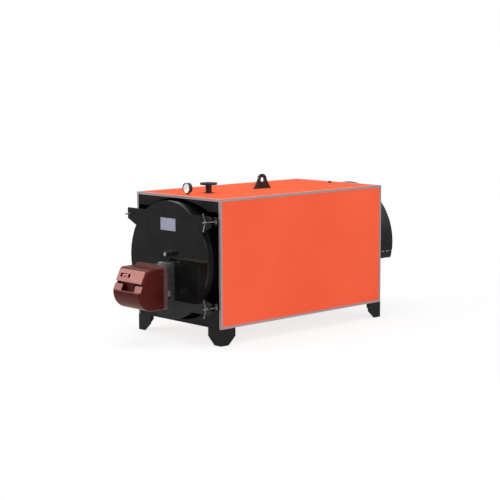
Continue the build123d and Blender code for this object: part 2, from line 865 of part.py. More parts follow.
# Sight tube, with its glass at the outer end
with BuildPart() as sight_tube:
    with BuildSketch(upright(door_face)):
        with Locations((sight_x, sight_z)):
            Circle(sight_flange_radius)
    extrude(amount=sight_flange_thickness)
    with BuildSketch(upright(door_face)):
        with Locations((sight_x, sight_z)):
            Circle(sight_radius)
    extrude(amount=sight_length)
    with BuildSketch(upright(door_face)):
        with Locations((sight_x, sight_z)):
            Circle(sight_bore)
    extrude(amount=sight_length, mode=Mode.SUBTRACT)
sight_tube.part.label = "sight_tube"
export_step(sight_tube.part, "parts/sight_tube.step")

with BuildPart() as sight_glass:
    with BuildSketch(upright(door_face - sight_length)):
        with Locations((sight_x, sight_z)):
            Circle(sight_radius)
    extrude(amount=glass_thickness)
sight_glass.part.label = "sight_glass"
export_step(sight_glass.part, "parts/sight_glass.step")

# Burner housing: the narrow cast body between door and hood, on its flange
housing_middle = furnace_z + (housing_rise - housing_drop) / 2
housing_height = housing_rise + housing_drop
with BuildPart() as burner_housing:
    with BuildSketch(upright(door_face)):
        with Locations((0, housing_middle)):
            RectangleRounded(housing_width + 2 * burner_flange_margin, housing_height, housing_corner)
    extrude(amount=burner_flange_thickness)
    with BuildSketch(upright(door_face)):
        with Locations((0, housing_middle)):
            RectangleRounded(housing_width, housing_height - 2 * burner_flange_margin, housing_corner)
    extrude(amount=door_face - front + rim_reach)
burner_housing.part.label = "burner_housing"
export_step(burner_housing.part, "parts/burner_housing.step")

# Burner rim: the back plate that the hood closes on
with BuildPart() as burner_rim:
    with BuildSketch(upright(front - rim_reach)):
        with Locations((0, (cover_bottom + cover_top + rim_rise) / 2)):
            RectangleRounded(burner_width + 2 * rim_side, cover_top + rim_rise - cover_bottom, rim_corner)
    extrude(amount=rim_thickness)
burner_rim.part.label = "burner_rim"
export_step(burner_rim.part, "parts/burner_rim.step")

# Burner hood: its side outline drawn across the machine, rounded at the bend and along both flanks
hood_rear = front - rim_reach - rim_thickness
panel_head = (burner_front + cover_top_setback, cover_top)
panel_end = (burner_front, furnace_z - panel_drop)
panel_slope = cover_top_setback / (cover_top_rise + panel_drop)
panel_foot = (burner_front + panel_slope * (panel_foot_rise + panel_drop), furnace_z + panel_foot_rise)
belly_radius = cover_drop - nose_drop
groove_bottom = panel_foot[1] - groove_height
pad_bottom = groove_bottom - pad_height
recess_left = -burner_width / 2 + left_pad_width
recess_right = burner_width / 2 - right_pad_width
notch_left = -burner_width / 2 + notch_side_margin
with BuildPart() as burner_cover:
    with BuildSketch(Plane(origin=(-burner_width / 2, 0, 0), x_dir=(0, 1, 0), z_dir=(1, 0, 0))):
        with BuildLine():
            Polyline(
                (burner_front + belly_radius, cover_bottom),
                (hood_rear, cover_bottom),
                (hood_rear, cover_top),
                panel_head,
                panel_end,
                (burner_front, furnace_z - nose_drop),
            )
            JernArc(
                start=(burner_front, furnace_z - nose_drop),
                tangent=(0, -1),
                radius=belly_radius,
                arc_size=90,
            )
        make_face()
    extrude(amount=burner_width)
    fillet(edges().filter_by(Axis.X).group_by(Axis.Z)[-1].sort_by(Axis.Y)[0], cover_bend_round)
    for flank in (faces().sort_by(Axis.X)[0], faces().sort_by(Axis.X)[-1]):
        fillet(flank.edges().sort_by(Axis.Y)[:-1], cover_edge_round)
    # Faces of the two pads: set back below the panel's lip, and ending on the nose's rounded ledge
    with BuildSketch(Plane(origin=(-burner_width / 2, 0, 0), x_dir=(0, 1, 0), z_dir=(1, 0, 0))):
        with BuildLine():
            shoulder = JernArc(
                start=(burner_front, pad_bottom - ledge_round),
                tangent=(0, 1),
                radius=ledge_round,
                arc_size=-90,
            )
            Polyline(
                shoulder @ 1,
                (burner_front + ledge_depth, pad_bottom),
                (panel_foot[0] + pad_setback, panel_foot[1]),
                (burner_front - ledge_depth, panel_foot[1]),
                (burner_front - ledge_depth, pad_bottom - ledge_round),
                shoulder @ 0,
            )
        make_face()
    extrude(amount=burner_width, mode=Mode.SUBTRACT)
    # Groove under the panel's lip, and the recess between the pads
    middle, size = block(
        -burner_width / 2, burner_width / 2, burner_front, panel_foot[0] + groove_depth,
        groove_bottom, panel_foot[1],
    )
    with Locations(middle):
        Box(*size, mode=Mode.SUBTRACT)
    with BuildSketch(upright(burner_front)):
        with Locations(((recess_left + recess_right) / 2, (pad_bottom + panel_foot[1]) / 2)):
            RectangleRounded(recess_right - recess_left, panel_foot[1] - pad_bottom, recess_corner)
    extrude(amount=-(panel_foot[0] + recess_depth - burner_front), mode=Mode.SUBTRACT)
    # Deep latch slot beside the right pad, and the notch over the left one
    middle, size = block(
        recess_right - latch_width, recess_right, burner_front, panel_foot[0] + latch_depth,
        pad_bottom, panel_foot[1],
    )
    with Locations(middle):
        Box(*size, mode=Mode.SUBTRACT)
    middle, size = block(
        notch_left, notch_left + notch_width, burner_front, panel_foot[0] + latch_depth,
        groove_bottom, panel_foot[1],
    )
    with Locations(middle):
        Box(*size, mode=Mode.SUBTRACT)
    # Grips in the sloping panel: one left open at its right side, one plain
    panel_rise = panel_head[1] - panel_foot[1]
    panel_run = panel_head[0] - panel_foot[0]
    panel = Plane(origin=(0, *panel_foot), x_dir=(1, 0, 0), z_dir=(0, -panel_rise, panel_run))
    grip_middle = grip_foot + grip_height / 2
    with BuildSketch(panel):
        with Locations((open_grip_x, grip_middle)):
            Rectangle(open_grip_width, grip_height)
        with Locations((open_grip_x + open_grip_side, grip_middle)):
            Rectangle(open_grip_width, grip_height - 2 * grip_stroke, mode=Mode.SUBTRACT)
        with Locations((plain_grip_x, grip_middle)):
            Rectangle(plain_grip_width, grip_height)
    extrude(amount=-grip_depth, mode=Mode.SUBTRACT)
burner_cover.part.label = "burner_cover"
export_step(burner_cover.part, "parts/burner_cover.step")

# Blast tube through the door into the furnace
with BuildPart() as blast_tube:
    with BuildSketch(upright(door_face)):
        with Locations((0, furnace_z)):
            Circle(blast_radius)
            Circle(blast_radius - blast_wall, mode=Mode.SUBTRACT)
    extrude(amount=-(door_standoff + blast_reach))
blast_tube.part.label = "blast_tube"
export_step(blast_tube.part, "parts/blast_tube.step")

# Forks with their pins: two plates and a web welded to the drum, for each eye bolt
fork_inside = eye_height / 2 + eye_side_gap
fork_outside = fork_inside + fork_plate
web_front = pin_y + eye_radius + fork_back_gap
web_back = web_front + fork_web
for node_name, side in (("hinge_forks", -1), ("closure_forks", 1)):
    with BuildPart() as forks:
        for rise in (-1, 1):
            closure_z = axis_z + rise * closure_height
            with BuildSketch(Plane.XY.offset(closure_z - fork_outside)):
                with Locations((side * closure_x, pin_y)):
                    Circle(fork_nose)
                    Rectangle(2 * fork_nose, web_back - pin_y, align=(Align.CENTER, Align.MIN))
                x0, x1 = sorted((side * closure_x, side * drum_radius / 3))
                with Locations(((x0 + x1) / 2, (web_front + web_back) / 2 - fork_nose / 2)):
                    Rectangle(x1 - x0, fork_web + fork_nose)
            extrude(amount=2 * fork_outside)
            gap_outer = side * (closure_x + 2 * fork_nose)
            gap_inner = side * (closure_x - fork_nose - fork_rod_room - rod_radius)
            gap_x0, gap_x1 = sorted((gap_outer, gap_inner))
            middle, size = block(
                gap_x0, gap_x1, pin_y - 2 * fork_nose, web_front,
                closure_z - fork_inside, closure_z + fork_inside,
            )
            with Locations(middle):
                Box(*size, mode=Mode.SUBTRACT)
            with Locations((side * closure_x, pin_y, closure_z)):
                Cylinder(pin_radius, 2 * fork_outside)
            for end in (-1, 1):
                with Locations((side * closure_x, pin_y, closure_z + end * (fork_outside + pin_head / 2))):
                    Cylinder(pin_head_radius, pin_head)
        with BuildSketch(upright(drum_front)):
            with Locations((0, axis_z)):
                Circle(drum_radius + seat_gap)
        extrude(amount=-casing_length / 2, mode=Mode.SUBTRACT)
    forks.part.label = node_name
    export_step(forks.part, f"parts/{node_name}.step")


def eye_bolt(side, rise, reach):
    """Eye round the pin, with its rod towards the front, as long as its reach from the pin."""
    closure_z = axis_z + rise * closure_height
    with BuildPart() as bolt:
        with BuildSketch(Plane.XY.offset(closure_z - eye_height / 2)):
            with Locations((side * closure_x, pin_y)):
                Circle(eye_radius)
        extrude(amount=eye_height)
        with BuildSketch(upright(pin_y)):
            with Locations((side * closure_x, closure_z)):
                Circle(rod_radius)
        extrude(amount=reach)
        with Locations((side * closure_x, pin_y, closure_z)):
            Cylinder(pin_radius + pin_clearance, 2 * eye_height, mode=Mode.SUBTRACT)
    return bolt


# Hinge bolts: eye bolts nutted to the left ears
ear_front = pin_y - door_face
hinge_rod_reach = ear_front + hinge_nut_height + hinge_rod_margin
left_bolts = [eye_bolt(-1, rise, hinge_rod_reach) for rise in (-1, 1)]
with BuildPart() as hinge_bolts:
    for rise, bolt in zip((-1, 1), left_bolts):
        add(bolt.part)
        closure_z = axis_z + rise * closure_height
        for nut_y in (door_face - hinge_nut_height, door_back):
            with BuildSketch(upright(nut_y)):
                with Locations((-closure_x, closure_z)):
                    RegularPolygon(hinge_nut_width / 2, 6, major_radius=False)
            extrude(amount=-hinge_nut_height)
hinge_bolts.part.label = "hinge_bolts"
export_step(hinge_bolts.part, "parts/hinge_bolts.step")

# Swing bolts with their T-handled nuts, run back until they clear the ears
handle_reach = sqrt(ear_margin ** 2 + ear_front ** 2) + handle_clearance
swing_rod_reach = handle_reach + handle_hub_length + swing_rod_margin
hub_back = pin_y - handle_reach
for rise_name, rise in (("upper", 1), ("lower", -1)):
    closure_z = axis_z + rise * closure_height
    swing_bolt = eye_bolt(1, rise, swing_rod_reach)
    swing_bolt.part.label = f"swing_bolt_{rise_name}"
    export_step(swing_bolt.part, f"parts/swing_bolt_{rise_name}.step")

    with BuildPart() as handle:
        with BuildSketch(upright(hub_back)):
            with Locations((closure_x, closure_z)):
                Circle(handle_hub_radius)
        extrude(amount=handle_hub_length)
        arm_root = hub_back - handle_hub_length / 2
        for end in (-1, 1):
            with BuildLine() as arm:
                Line(
                    (closure_x, arm_root, closure_z),
                    (closure_x, arm_root - handle_arm_sweep, closure_z + end * handle_arm_reach),
                )
            with BuildSketch(Plane(origin=arm.line @ 0, z_dir=arm.line % 0)):
                Circle(handle_arm_radius)
            sweep(path=arm.line)
        with BuildSketch(upright(hub_back)):
            with Locations((closure_x, closure_z)):
                Circle(rod_radius + seat_gap)
        extrude(amount=handle_hub_length + handle_arm_sweep, mode=Mode.SUBTRACT)
    handle.part.label = f"handle_nut_{rise_name}"
    export_step(handle.part, f"parts/handle_nut_{rise_name}.step")
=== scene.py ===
import math

import bmesh
import bpy
from mathutils import Matrix, Vector


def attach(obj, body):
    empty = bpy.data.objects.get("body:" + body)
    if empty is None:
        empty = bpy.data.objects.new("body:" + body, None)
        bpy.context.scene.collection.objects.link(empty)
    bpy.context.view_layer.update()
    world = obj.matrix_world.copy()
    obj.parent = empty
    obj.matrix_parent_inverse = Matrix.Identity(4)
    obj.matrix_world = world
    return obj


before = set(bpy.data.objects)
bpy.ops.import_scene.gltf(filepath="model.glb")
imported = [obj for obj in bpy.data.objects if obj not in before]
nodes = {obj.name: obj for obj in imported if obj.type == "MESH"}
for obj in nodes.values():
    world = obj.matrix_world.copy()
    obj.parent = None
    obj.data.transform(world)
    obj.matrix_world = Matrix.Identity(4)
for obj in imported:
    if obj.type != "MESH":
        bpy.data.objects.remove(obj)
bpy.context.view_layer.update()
scene = bpy.context.scene
scene.view_settings.view_transform = "Standard"

# Places and sizes in metres that the pieces below share, in the part's own frame: the casing first,
# then the pressure body, the door, the burner and the gauge
FRONT = -0.945
REAR = 1.255
TOP = 1.357
BOTTOM = 0.157
CASING_HALF = 0.604
DRUM_Z = 0.757
DRUM_RADIUS = 0.545
SMOKE_BOX_RADIUS = 0.590
SPIGOT_Z = DRUM_Z + 0.170
FURNACE_Z = 0.530
DOOR_FACE = FRONT - 0.118
PIN_Y = FRONT - 0.018
CLOSURE_X = 0.560
CLOSURE_RISE = 0.397
CLOSURES = (DRUM_Z + CLOSURE_RISE, DRUM_Z - CLOSURE_RISE)
HOOD_HALF = 0.200
HOUSING_HALF = 0.084
HOUSING_TOP = 0.7275
BOSS_Y = FRONT - 0.184
BOSS_Z = 0.573
GAUGE = Vector((0, FRONT + 0.130, TOP - 0.002 + 0.063))
DIAL_Y = GAUGE.y - 0.019
MARK_Y = DIAL_Y + 0.0027

# Points per ripple of a weld bead, and how far an open bar narrows at its ends
RIPPLE_PITCH = 3
END_TAPER = 0.55

# How far some added pieces sink into the face that carries them
SINK = 0.0005

# The dial's zero and the span of its scale, in degrees
DIAL_START = 225
DIAL_SWEEP = 270

# Directions and sides
UP = (0, 0, 1)
DOWN = (0, 0, -1)
BACK = (0, 1, 0)
AHEAD = (0, -1, 0)
SIDES = (-1, 1)

# Bodies of the part
BOILER = "boiler"
DOOR = "door"
UPPER_BOLT = "swing_bolt_upper"
LOWER_BOLT = "swing_bolt_lower"


# Materials: every tree is built from these few helpers. Colours are linear red, green and blue, and
# a noise scale counts cells a metre

class Tree:
    """A material's node tree, with short ways to add and join nodes."""

    def __init__(self, name):
        self.material = bpy.data.materials.new(name)
        self.material.use_nodes = True
        self.tree = self.material.node_tree
        self.tree.nodes.clear()
        self.out = self.node("OutputMaterial")
        self.shader = self.node("BsdfPrincipled")
        self.link(self.shader.outputs[0], self.out.inputs[0])
        self.coords = self.node("TexCoord").outputs["Object"]

    def link(self, source, target):
        self.tree.links.new(source, target)

    def value(self, socket, amount):
        """Join a socket to another node's output, or set it to an amount."""
        if isinstance(amount, bpy.types.NodeSocket):
            self.link(amount, socket)
        elif amount is not None:
            socket.default_value = amount

    def node(self, kind, **sockets):
        """A new node, with some of its sockets joined or set."""
        node = self.tree.nodes.new("ShaderNode" + kind)
        for name, amount in sockets.items():
            self.value(node.inputs[name], amount)
        return node

    def scaled(self, scale):
        return self.node("Mapping", Vector=self.coords, Scale=scale).outputs[0]

    def noise(self, scale, detail=3.0, rough=0.5, distort=0.0, vector=None):
        sizes = {"Scale": scale, "Detail": detail, "Roughness": rough, "Distortion": distort}
        return self.node("TexNoise", Vector=vector or self.coords, **sizes).outputs["Fac"]

    def cells(self, scale, feature="F1", out="Distance"):
        node = self.node("TexVoronoi", Vector=self.coords, Scale=scale)
        node.feature = feature
        return node.outputs[out]

    def wave(self, scale, distort, direction, detail):
        node = self.node("TexWave", Vector=self.coords, Scale=scale, Distortion=distort, Detail=detail)
        node.bands_direction = direction
        return node.outputs["Fac"]

    def ramp(self, fac, *stops):
        """Colours or grey values between stops."""
        node = self.node("ValToRGB", Fac=fac)
        band = node.color_ramp
        while len(band.elements) < len(stops):
            band.elements.new(0.5)
        for element, (place, colour) in zip(band.elements, stops):
            element.position = place
            if isinstance(colour, (int, float)):
                colour = (colour, colour, colour)
            element.color = (*colour, 1.0)
        return node.outputs["Color"]

    def mix(self, fac, a, b, blend="MIX"):
        """One colour over another by a factor."""
        node = self.node("Mix")
        node.data_type = "RGBA"
        node.blend_type = blend
        self.value(node.inputs[0], fac)
        for socket, colour in ((node.inputs[6], a), (node.inputs[7], b)):
            self.value(socket, (*colour, 1.0) if isinstance(colour, tuple) else colour)
        return node.outputs[2]

    def math(self, kind, a, b, clamp=False):
        node = self.node("Math")
        node.operation = kind
        node.use_clamp = clamp
        self.value(node.inputs[0], a)
        self.value(node.inputs[1], b)
        return node.outputs[0]

    def bump(self, height, strength, distance, normal=None):
        node = self.node("Bump", Strength=strength, Distance=distance, Height=height, Normal=normal)
        return node.outputs[0]

    def along_normal(self, vector):
        """How far a vector points along the surface's normal."""
        dot = self.node("VectorMath")
        dot.operation = "DOT_PRODUCT"
        self.link(vector, dot.inputs[0])
        self.link(self.node("NewGeometry").outputs["Normal"], dot.inputs[1])
        return dot.outputs["Value"]

    def edges(self, radius, low, high):
        """1 along worn edges, 0 on flat faces: where a rounded normal leaves the real one."""
        bevel = self.node("Bevel", Radius=radius)
        bevel.samples = 4
        off = self.math("SUBTRACT", 1.0, self.along_normal(bevel.outputs[0]), clamp=True)
        worn = self.math("MULTIPLY", off, self.noise(90.0, 4.0, 0.7))
        return self.ramp(worn, (low, 0.0), (high, 1.0))

    def inward(self, middle):
        """1 on faces that look towards a middle, such as the inside of a casing."""
        out = self.node("VectorMath")
        out.operation = "SUBTRACT"
        self.link(self.coords, out.inputs[0])
        out.inputs[1].default_value = middle
        return self.math("LESS_THAN", self.along_normal(out.outputs[0]), 0.0)

    def upward(self):
        """1 on faces that look up, where dust lies."""
        node = self.node("SeparateXYZ", Vector=self.node("NewGeometry").outputs["Normal"])
        return self.ramp(node.outputs["Z"], (0.4, 0.0), (1.0, 1.0))

    def finish(self, colour=None, rough=None, normal=None, **sockets):
        """Join or set the shader's sockets, and hand back the material."""
        if isinstance(colour, tuple):
            colour = (*colour, 1.0)
        sockets.update({"Base Color": colour, "Roughness": rough, "Normal": normal})
        for name, amount in sockets.items():
            self.value(self.shader.inputs[name.replace("_", " ")], amount)
        return self.material


def shade(colour, share, lift=0.0):
    """A lighter or darker version of a colour."""
    return tuple(c * share + lift for c in colour)


def panel_paint(name, colour, deep, wave_strength):
    """Glossy powder coat on thin sheet, with painted shade on its inside faces: orange peel, slight
    oil-canning, rub marks.
    """
    t = Tree(name)
    cloud = t.noise(1.1, 3.0, 0.5, 0.3)
    base = t.mix(t.ramp(cloud, (0.30, 0.0), (0.72, 1.0)), deep, colour)
    speck = t.noise(620.0, 2.0, 0.6)
    base = t.mix(t.ramp(speck, (0.35, 0.0), (0.75, 0.07)), base, (0.95, 0.30, 0.18))
    # Painted shade: faces that look into the casing are made near-black, standing in for the shade inside it
    base = t.mix(t.inward((0, (FRONT + REAR) / 2, DRUM_Z)), base, (0.022, 0.020, 0.019))
    rub = t.noise(9.0, 6.0, 0.7, 1.5)
    peel = t.noise(330.0, 2.0, 0.5)
    sag = t.noise(2.3, 1.0, 0.4)
    normal = t.bump(sag, wave_strength, 0.02)
    normal = t.bump(peel, 0.10, 0.0006, normal)
    rough = t.ramp(rub, (0.32, 0.16), (0.60, 0.24), (0.80, 0.34))
    tint = (1.0, 0.30, 0.20, 1.0)
    return t.finish(base, rough, normal, Metallic=0.14, Specular_IOR_Level=0.0, Specular_Tint=tint)


def black_paint(name, colour, rough_low, rough_high, ior, peel=0.10, wear=True, dust=0.10):
    """Black enamel on plate: rolled-plate unevenness, orange peel, worn edges and a little dust."""
    t = Tree(name)
    cloud = t.noise(5.0, 4.0, 0.6, 0.4)
    lighter = shade(colour, 1.7, 0.002)
    base = t.mix(t.ramp(cloud, (0.35, 0.0), (0.75, 1.0)), colour, lighter)
    grime = t.noise(38.0, 5.0, 0.7, 0.6)
    dusty = t.math("MULTIPLY", t.upward(), t.ramp(grime, (0.30, 0.25), (0.75, 1.0)))
    dusty = t.math("MULTIPLY", dusty, dust)
    base = t.mix(dusty, base, (0.24, 0.22, 0.20))
    rough = t.ramp(t.noise(14.0, 5.0, 0.65, 0.8), (0.3, rough_low), (0.75, rough_high))
    if wear:
        worn = t.edges(0.0018, 0.16, 0.30)
        base = t.mix(t.math("MULTIPLY", worn, 0.55), base, (0.16, 0.155, 0.15))
    normal = t.bump(t.noise(6.0, 2.0, 0.5), 0.05, 0.01)
    normal = t.bump(t.noise(420.0, 2.0, 0.5), peel, 0.0005, normal)
    return t.finish(base, rough, normal, IOR=ior)


def rolled_steel(name, colour, rust, rough_low, rough_high, metallic=0.55, soot=0.0):
    """Bare rolled steel with mill scale, heat tint and rust bloom."""
    t = Tree(name)
    scale = t.noise(11.0, 6.0, 0.65, 0.8)
    base = t.mix(t.ramp(scale, (0.35, 0.0), (0.7, 1.0)), colour, shade(colour, 1.8, 0.01))
    bloom = t.noise(26.0, 8.0, 0.75, 1.2)
    base = t.mix(t.ramp(bloom, (0.52, 0.0), (0.78, 0.6)), base, rust)
    fine = t.noise(240.0, 3.0, 0.6)
    base = t.mix(t.ramp(fine, (0.3, 0.0), (0.8, 0.25)), base, shade(colour, 0.4))
    if soot:
        smoke = t.noise(3.4, 5.0, 0.6, 0.6)
        base = t.mix(t.ramp(smoke, (0.30, soot), (0.85, soot * 0.4)), base, (0.008, 0.007, 0.007))
    rough = t.ramp(scale, (0.3, rough_low), (0.75, rough_high))
    normal = t.bump(t.noise(9.0, 3.0, 0.5), 0.08, 0.004)
    normal = t.bump(fine, 0.22, 0.0006, normal)
    return t.finish(base, rough, normal, Metallic=metallic)


def zinc(name, colour, direction=(1, 1, 1), rough=0.30):
    """Zinc-plated turned steel: fine turning marks, faint spangle and dull patches."""
    t = Tree(name)
    turned = t.noise(900.0, 2.0, 0.6, vector=t.scaled(direction))
    spangle = t.cells(260.0, out="Color")
    tone = t.mix(0.10, colour, spangle, "MULTIPLY")
    dull = t.noise(60.0, 5.0, 0.7)
    tone = t.mix(t.ramp(dull, (0.42, 0.0), (0.75, 0.45)), tone, shade(colour, 0.5))
    spread = t.ramp(dull, (0.30, rough), (0.80, rough + 0.22))
    normal = t.bump(turned, 0.12, 0.0004)
    return t.finish(tone, spread, normal, Metallic=0.9)


def trim_metal(name, colour):
    """Satin aluminium angle: long drawing lines, small nicks and dull spots."""
    t = Tree(name)
    lines = t.noise(60.0, 2.0, 0.5, vector=t.scaled((9.0, 0.25, 9.0)))
    base = t.mix(t.ramp(lines, (0.3, 0.0), (0.7, 0.35)), colour, shade(colour, 0.78))
    nick = t.noise(130.0, 5.0, 0.7, 0.5)
    base = t.mix(t.ramp(nick, (0.62, 0.0), (0.74, 0.5)), base, shade(colour, 0.55))
    rough = t.ramp(t.noise(20.0, 4.0, 0.6), (0.3, 0.30), (0.75, 0.46))
    normal = t.bump(lines, 0.06, 0.0004)
    return t.finish(base, rough, normal, Metallic=0.35, IOR=1.5)


def metallic_lacquer(name, colour, bright, coat, flake=0.3):
    """Deep metallic lacquer under a clear coat: flakes, cloudy darker patches, slight peel."""
    t = Tree(name)
    flakes = t.cells(2600.0, out="Color")
    base = t.mix(t.ramp(flakes, (0.25, 0.0), (0.95, flake)), colour, bright)
    cloud = t.noise(7.0, 3.0, 0.5, 0.5)
    base = t.mix(t.ramp(cloud, (0.35, 0.0), (0.8, 0.35)), base, shade(colour, 0.45))
    peel = t.noise(240.0, 2.0, 0.5)
    rough = t.ramp(t.noise(26.0, 4.0, 0.6), (0.3, 0.28), (0.75, 0.37))
    normal = t.bump(t.noise(12.0, 2.0, 0.5), 0.05, 0.003)
    normal = t.bump(peel, 0.04, 0.0004, normal)
    return t.finish(
        base, rough, normal, Metallic=0.36, Specular_Tint=(1.0, 0.66, 0.50, 1.0),
        Coat_Weight=coat, Coat_Roughness=0.06, Coat_IOR=1.40,
        Coat_Tint=(1.0, 0.90, 0.80, 1.0),
    )


def cast_metal(name, colour):
    """Sand-cast aluminium: grainy skin, dull, a little darker in its hollows."""
    t = Tree(name)
    grain = t.noise(420.0, 4.0, 0.7)
    lumps = t.noise(42.0, 4.0, 0.6, 0.4)
    base = t.mix(t.ramp(lumps, (0.3, 0.0), (0.75, 1.0)), shade(colour, 0.62), colour)
    base = t.mix(t.ramp(grain, (0.3, 0.35), (0.7, 0.0)), base, shade(colour, 0.35))
    rough = t.ramp(lumps, (0.3, 0.42), (0.75, 0.60))
    normal = t.bump(lumps, 0.12, 0.002)
    normal = t.bump(grain, 0.45, 0.0008, normal)
    return t.finish(base, rough, normal, Metallic=0.75)


def brick_lining(name):
    """Castable refractory: pale, gritty, crazed with fine cracks and smoked in patches."""
    t = Tree(name)
    grit = t.noise(190.0, 6.0, 0.75)
    dark, middle, pale = (0.34, 0.28, 0.21), (0.60, 0.52, 0.42), (0.72, 0.66, 0.57)
    base = t.ramp(grit, (0.25, dark), (0.55, middle), (0.8, pale))
    cracks = t.cells(7.0, "DISTANCE_TO_EDGE")
    base = t.mix(t.ramp(cracks, (0.0, 0.75), (0.012, 0.0)), base, (0.10, 0.08, 0.06))
    smoke = t.noise(3.0, 5.0, 0.6, 0.5)
    base = t.mix(t.ramp(smoke, (0.38, 0.0), (0.72, 0.75)), base, (0.05, 0.045, 0.04))
    normal = t.bump(cracks, 0.4, 0.002)
    normal = t.bump(grit, 0.8, 0.002, normal)
    return t.finish(base, 0.92, normal)


def rope(name, colour):
    """Braided glass-fibre rope."""
    t = Tree(name)
    strands = t.wave(95.0, 2.0, "DIAGONAL", 1.0)
    fuzz = t.noise(700.0, 3.0, 0.7)
    base = t.mix(t.ramp(strands, (0.2, 0.0), (0.8, 1.0)), shade(colour, 0.55), colour)
    base = t.mix(t.ramp(fuzz, (0.3, 0.3), (0.7, 0.0)), base, (0.30, 0.28, 0.26))
    normal = t.bump(strands, 0.9, 0.002)
    normal = t.bump(fuzz, 0.4, 0.0006, normal)
    return t.finish(base, 0.85, normal, Sheen_Weight=0.2)


def plain_satin(name, colour, rough=0.4, grain=300.0, bump=0.08, **sockets):
    """Small painted or moulded piece with a fine grain."""
    t = Tree(name)
    fine = t.noise(grain, 3.0, 0.6)
    base = t.mix(t.ramp(fine, (0.3, 0.0), (0.75, 0.4)), colour, shade(colour, 0.7))
    spread = t.ramp(t.noise(40.0, 3.0, 0.5), (0.3, max(rough - 0.06, 0.02)), (0.75, rough + 0.08))
    return t.finish(base, spread, t.bump(fine, bump, 0.0004), **sockets)


def clear_glass(name, tint):
    """Clear glass with faint smears."""
    t = Tree(name)
    smear = t.ramp(t.noise(30.0, 4.0, 0.6, 1.0), (0.4, 0.02), (0.8, 0.10))
    return t.finish(tint, smear, Transmission_Weight=1.0, IOR=1.45)


def weld_metal(name, colour, rough=0.42):
    """A painted-over weld bead with its scale-shaped ripples."""
    t = Tree(name)
    ripple = t.noise(170.0, 3.0, 0.6, 0.4)
    base = t.mix(t.ramp(ripple, (0.3, 0.0), (0.7, 1.0)), colour, shade(colour, 1.6, 0.004))
    return t.finish(base, rough, t.bump(ripple, 0.35, 0.001), IOR=1.35)


ORANGE = panel_paint("orange_powder_coat", (0.90, 0.124, 0.058), (0.84, 0.106, 0.045), 0.10)
TRIM = trim_metal("trim_aluminium", (0.42, 0.31, 0.32))
PLATE = trim_metal("blank_plate_silver", (0.35, 0.37, 0.47))

DOOR_BLACK = black_paint(
    "door_black_enamel", (0.0050, 0.0053, 0.0052), 0.030, 0.060, 1.38, peel=0.03, dust=0.05)
RING_BLACK = black_paint(
    "door_ring_black", (0.0060, 0.0060, 0.0062), 0.12, 0.22, 1.14, peel=0.08, dust=0.0)
CASE_BLACK = black_paint(
    "casing_black_enamel", (0.0115, 0.0117, 0.0132), 0.14, 0.26, 1.20, dust=0.08)
LEG_BLACK = black_paint(
    "leg_black_enamel", (0.0075, 0.0080, 0.0085), 0.24, 0.40, 1.26, peel=0.20, dust=0.12)
# Painted shade: the drum's black paint is made darker than the other blacks, for the shade in the gap
# between drum and casing
DRUM_SHADE_BLACK = black_paint(
    "drum_painted_shade_black", (0.0030, 0.0028, 0.0027), 0.30, 0.44, 1.10, peel=0.35, wear=False, dust=0.0)
BOX_BLACK = black_paint(
    "smoke_box_black", (0.0095, 0.0100, 0.0104), 0.22, 0.38, 1.30, peel=0.22, dust=0.14)
GAUGE_BLACK = black_paint(
    "gauge_case_black", (0.012, 0.012, 0.013), 0.12, 0.22, 1.45, peel=0.12, wear=False)
NOZZLE_BLACK = black_paint(
    "nozzle_black", (0.012, 0.011, 0.011), 0.20, 0.34, 1.42, peel=0.2, dust=0.12)
LUG_BLACK = black_paint(
    "lug_black", (0.013, 0.011, 0.0105), 0.22, 0.36, 1.42, peel=0.2, dust=0.10)

INNER_STEEL = rolled_steel(
    "fire_side_steel", (0.055, 0.048, 0.042), (0.14, 0.06, 0.03), 0.50, 0.75, soot=0.75)
FRAME_STEEL = rolled_steel(
    "frame_steel", (0.045, 0.044, 0.043), (0.11, 0.05, 0.028), 0.45, 0.70, metallic=0.35)
HEAT_STEEL = rolled_steel(
    "heat_tinted_steel", (0.34, 0.29, 0.24), (0.22, 0.12, 0.10), 0.28, 0.48, metallic=0.9)

ZINC = zinc("zinc_plate", (0.26, 0.255, 0.255))
DARK_ZINC = zinc("dark_zinc_plate", (0.20, 0.195, 0.19), rough=0.36)
BRASS = zinc("turned_brass", (0.62, 0.42, 0.16), rough=0.28)
LACQUER = metallic_lacquer("burner_lacquer", (0.074, 0.0014, 0.0040), (0.10, 0.042, 0.022), 0.08, 0.10)
RIM_LACQUER = metallic_lacquer("burner_rim_lacquer", (0.125, 0.062, 0.066), (0.26, 0.15, 0.14), 0.5)
CAST = cast_metal("cast_housing", (0.165, 0.172, 0.170))
LINING = brick_lining("castable_lining")
ROPE = rope("fibre_rope", (0.66, 0.63, 0.58))
GASKET = rope("joint_gasket", (0.46, 0.45, 0.44))
DIAL = plain_satin("dial_enamel", (0.88, 0.87, 0.85), 0.35, 500.0, 0.03)
DIAL_INK = plain_satin("dial_ink", (0.02, 0.02, 0.022), 0.5, 500.0, 0.03)
GREY_BOX = plain_satin("grey_moulding", (0.20, 0.215, 0.215), 0.40)
RUBBER = plain_satin("black_rubber", (0.012, 0.012, 0.012), 0.7, 200.0, 0.2)
GLASS = clear_glass("dial_glass", (1.0, 1.0, 1.0))
# A half-clear glass pane whose pale grey colour is a painted reflection
SIGHT_GLASS_PAINTED_REFLECTION = plain_satin(
    "sight_glass_painted_reflection", (0.52, 0.53, 0.56), 0.12, 300.0, 0.02, Transmission_Weight=0.35, IOR=1.5)
WELD = weld_metal("painted_weld", (0.012, 0.012, 0.012))
INNER_WELD = weld_metal("bare_weld", (0.06, 0.055, 0.05), 0.5)


# Dressing the CAD nodes

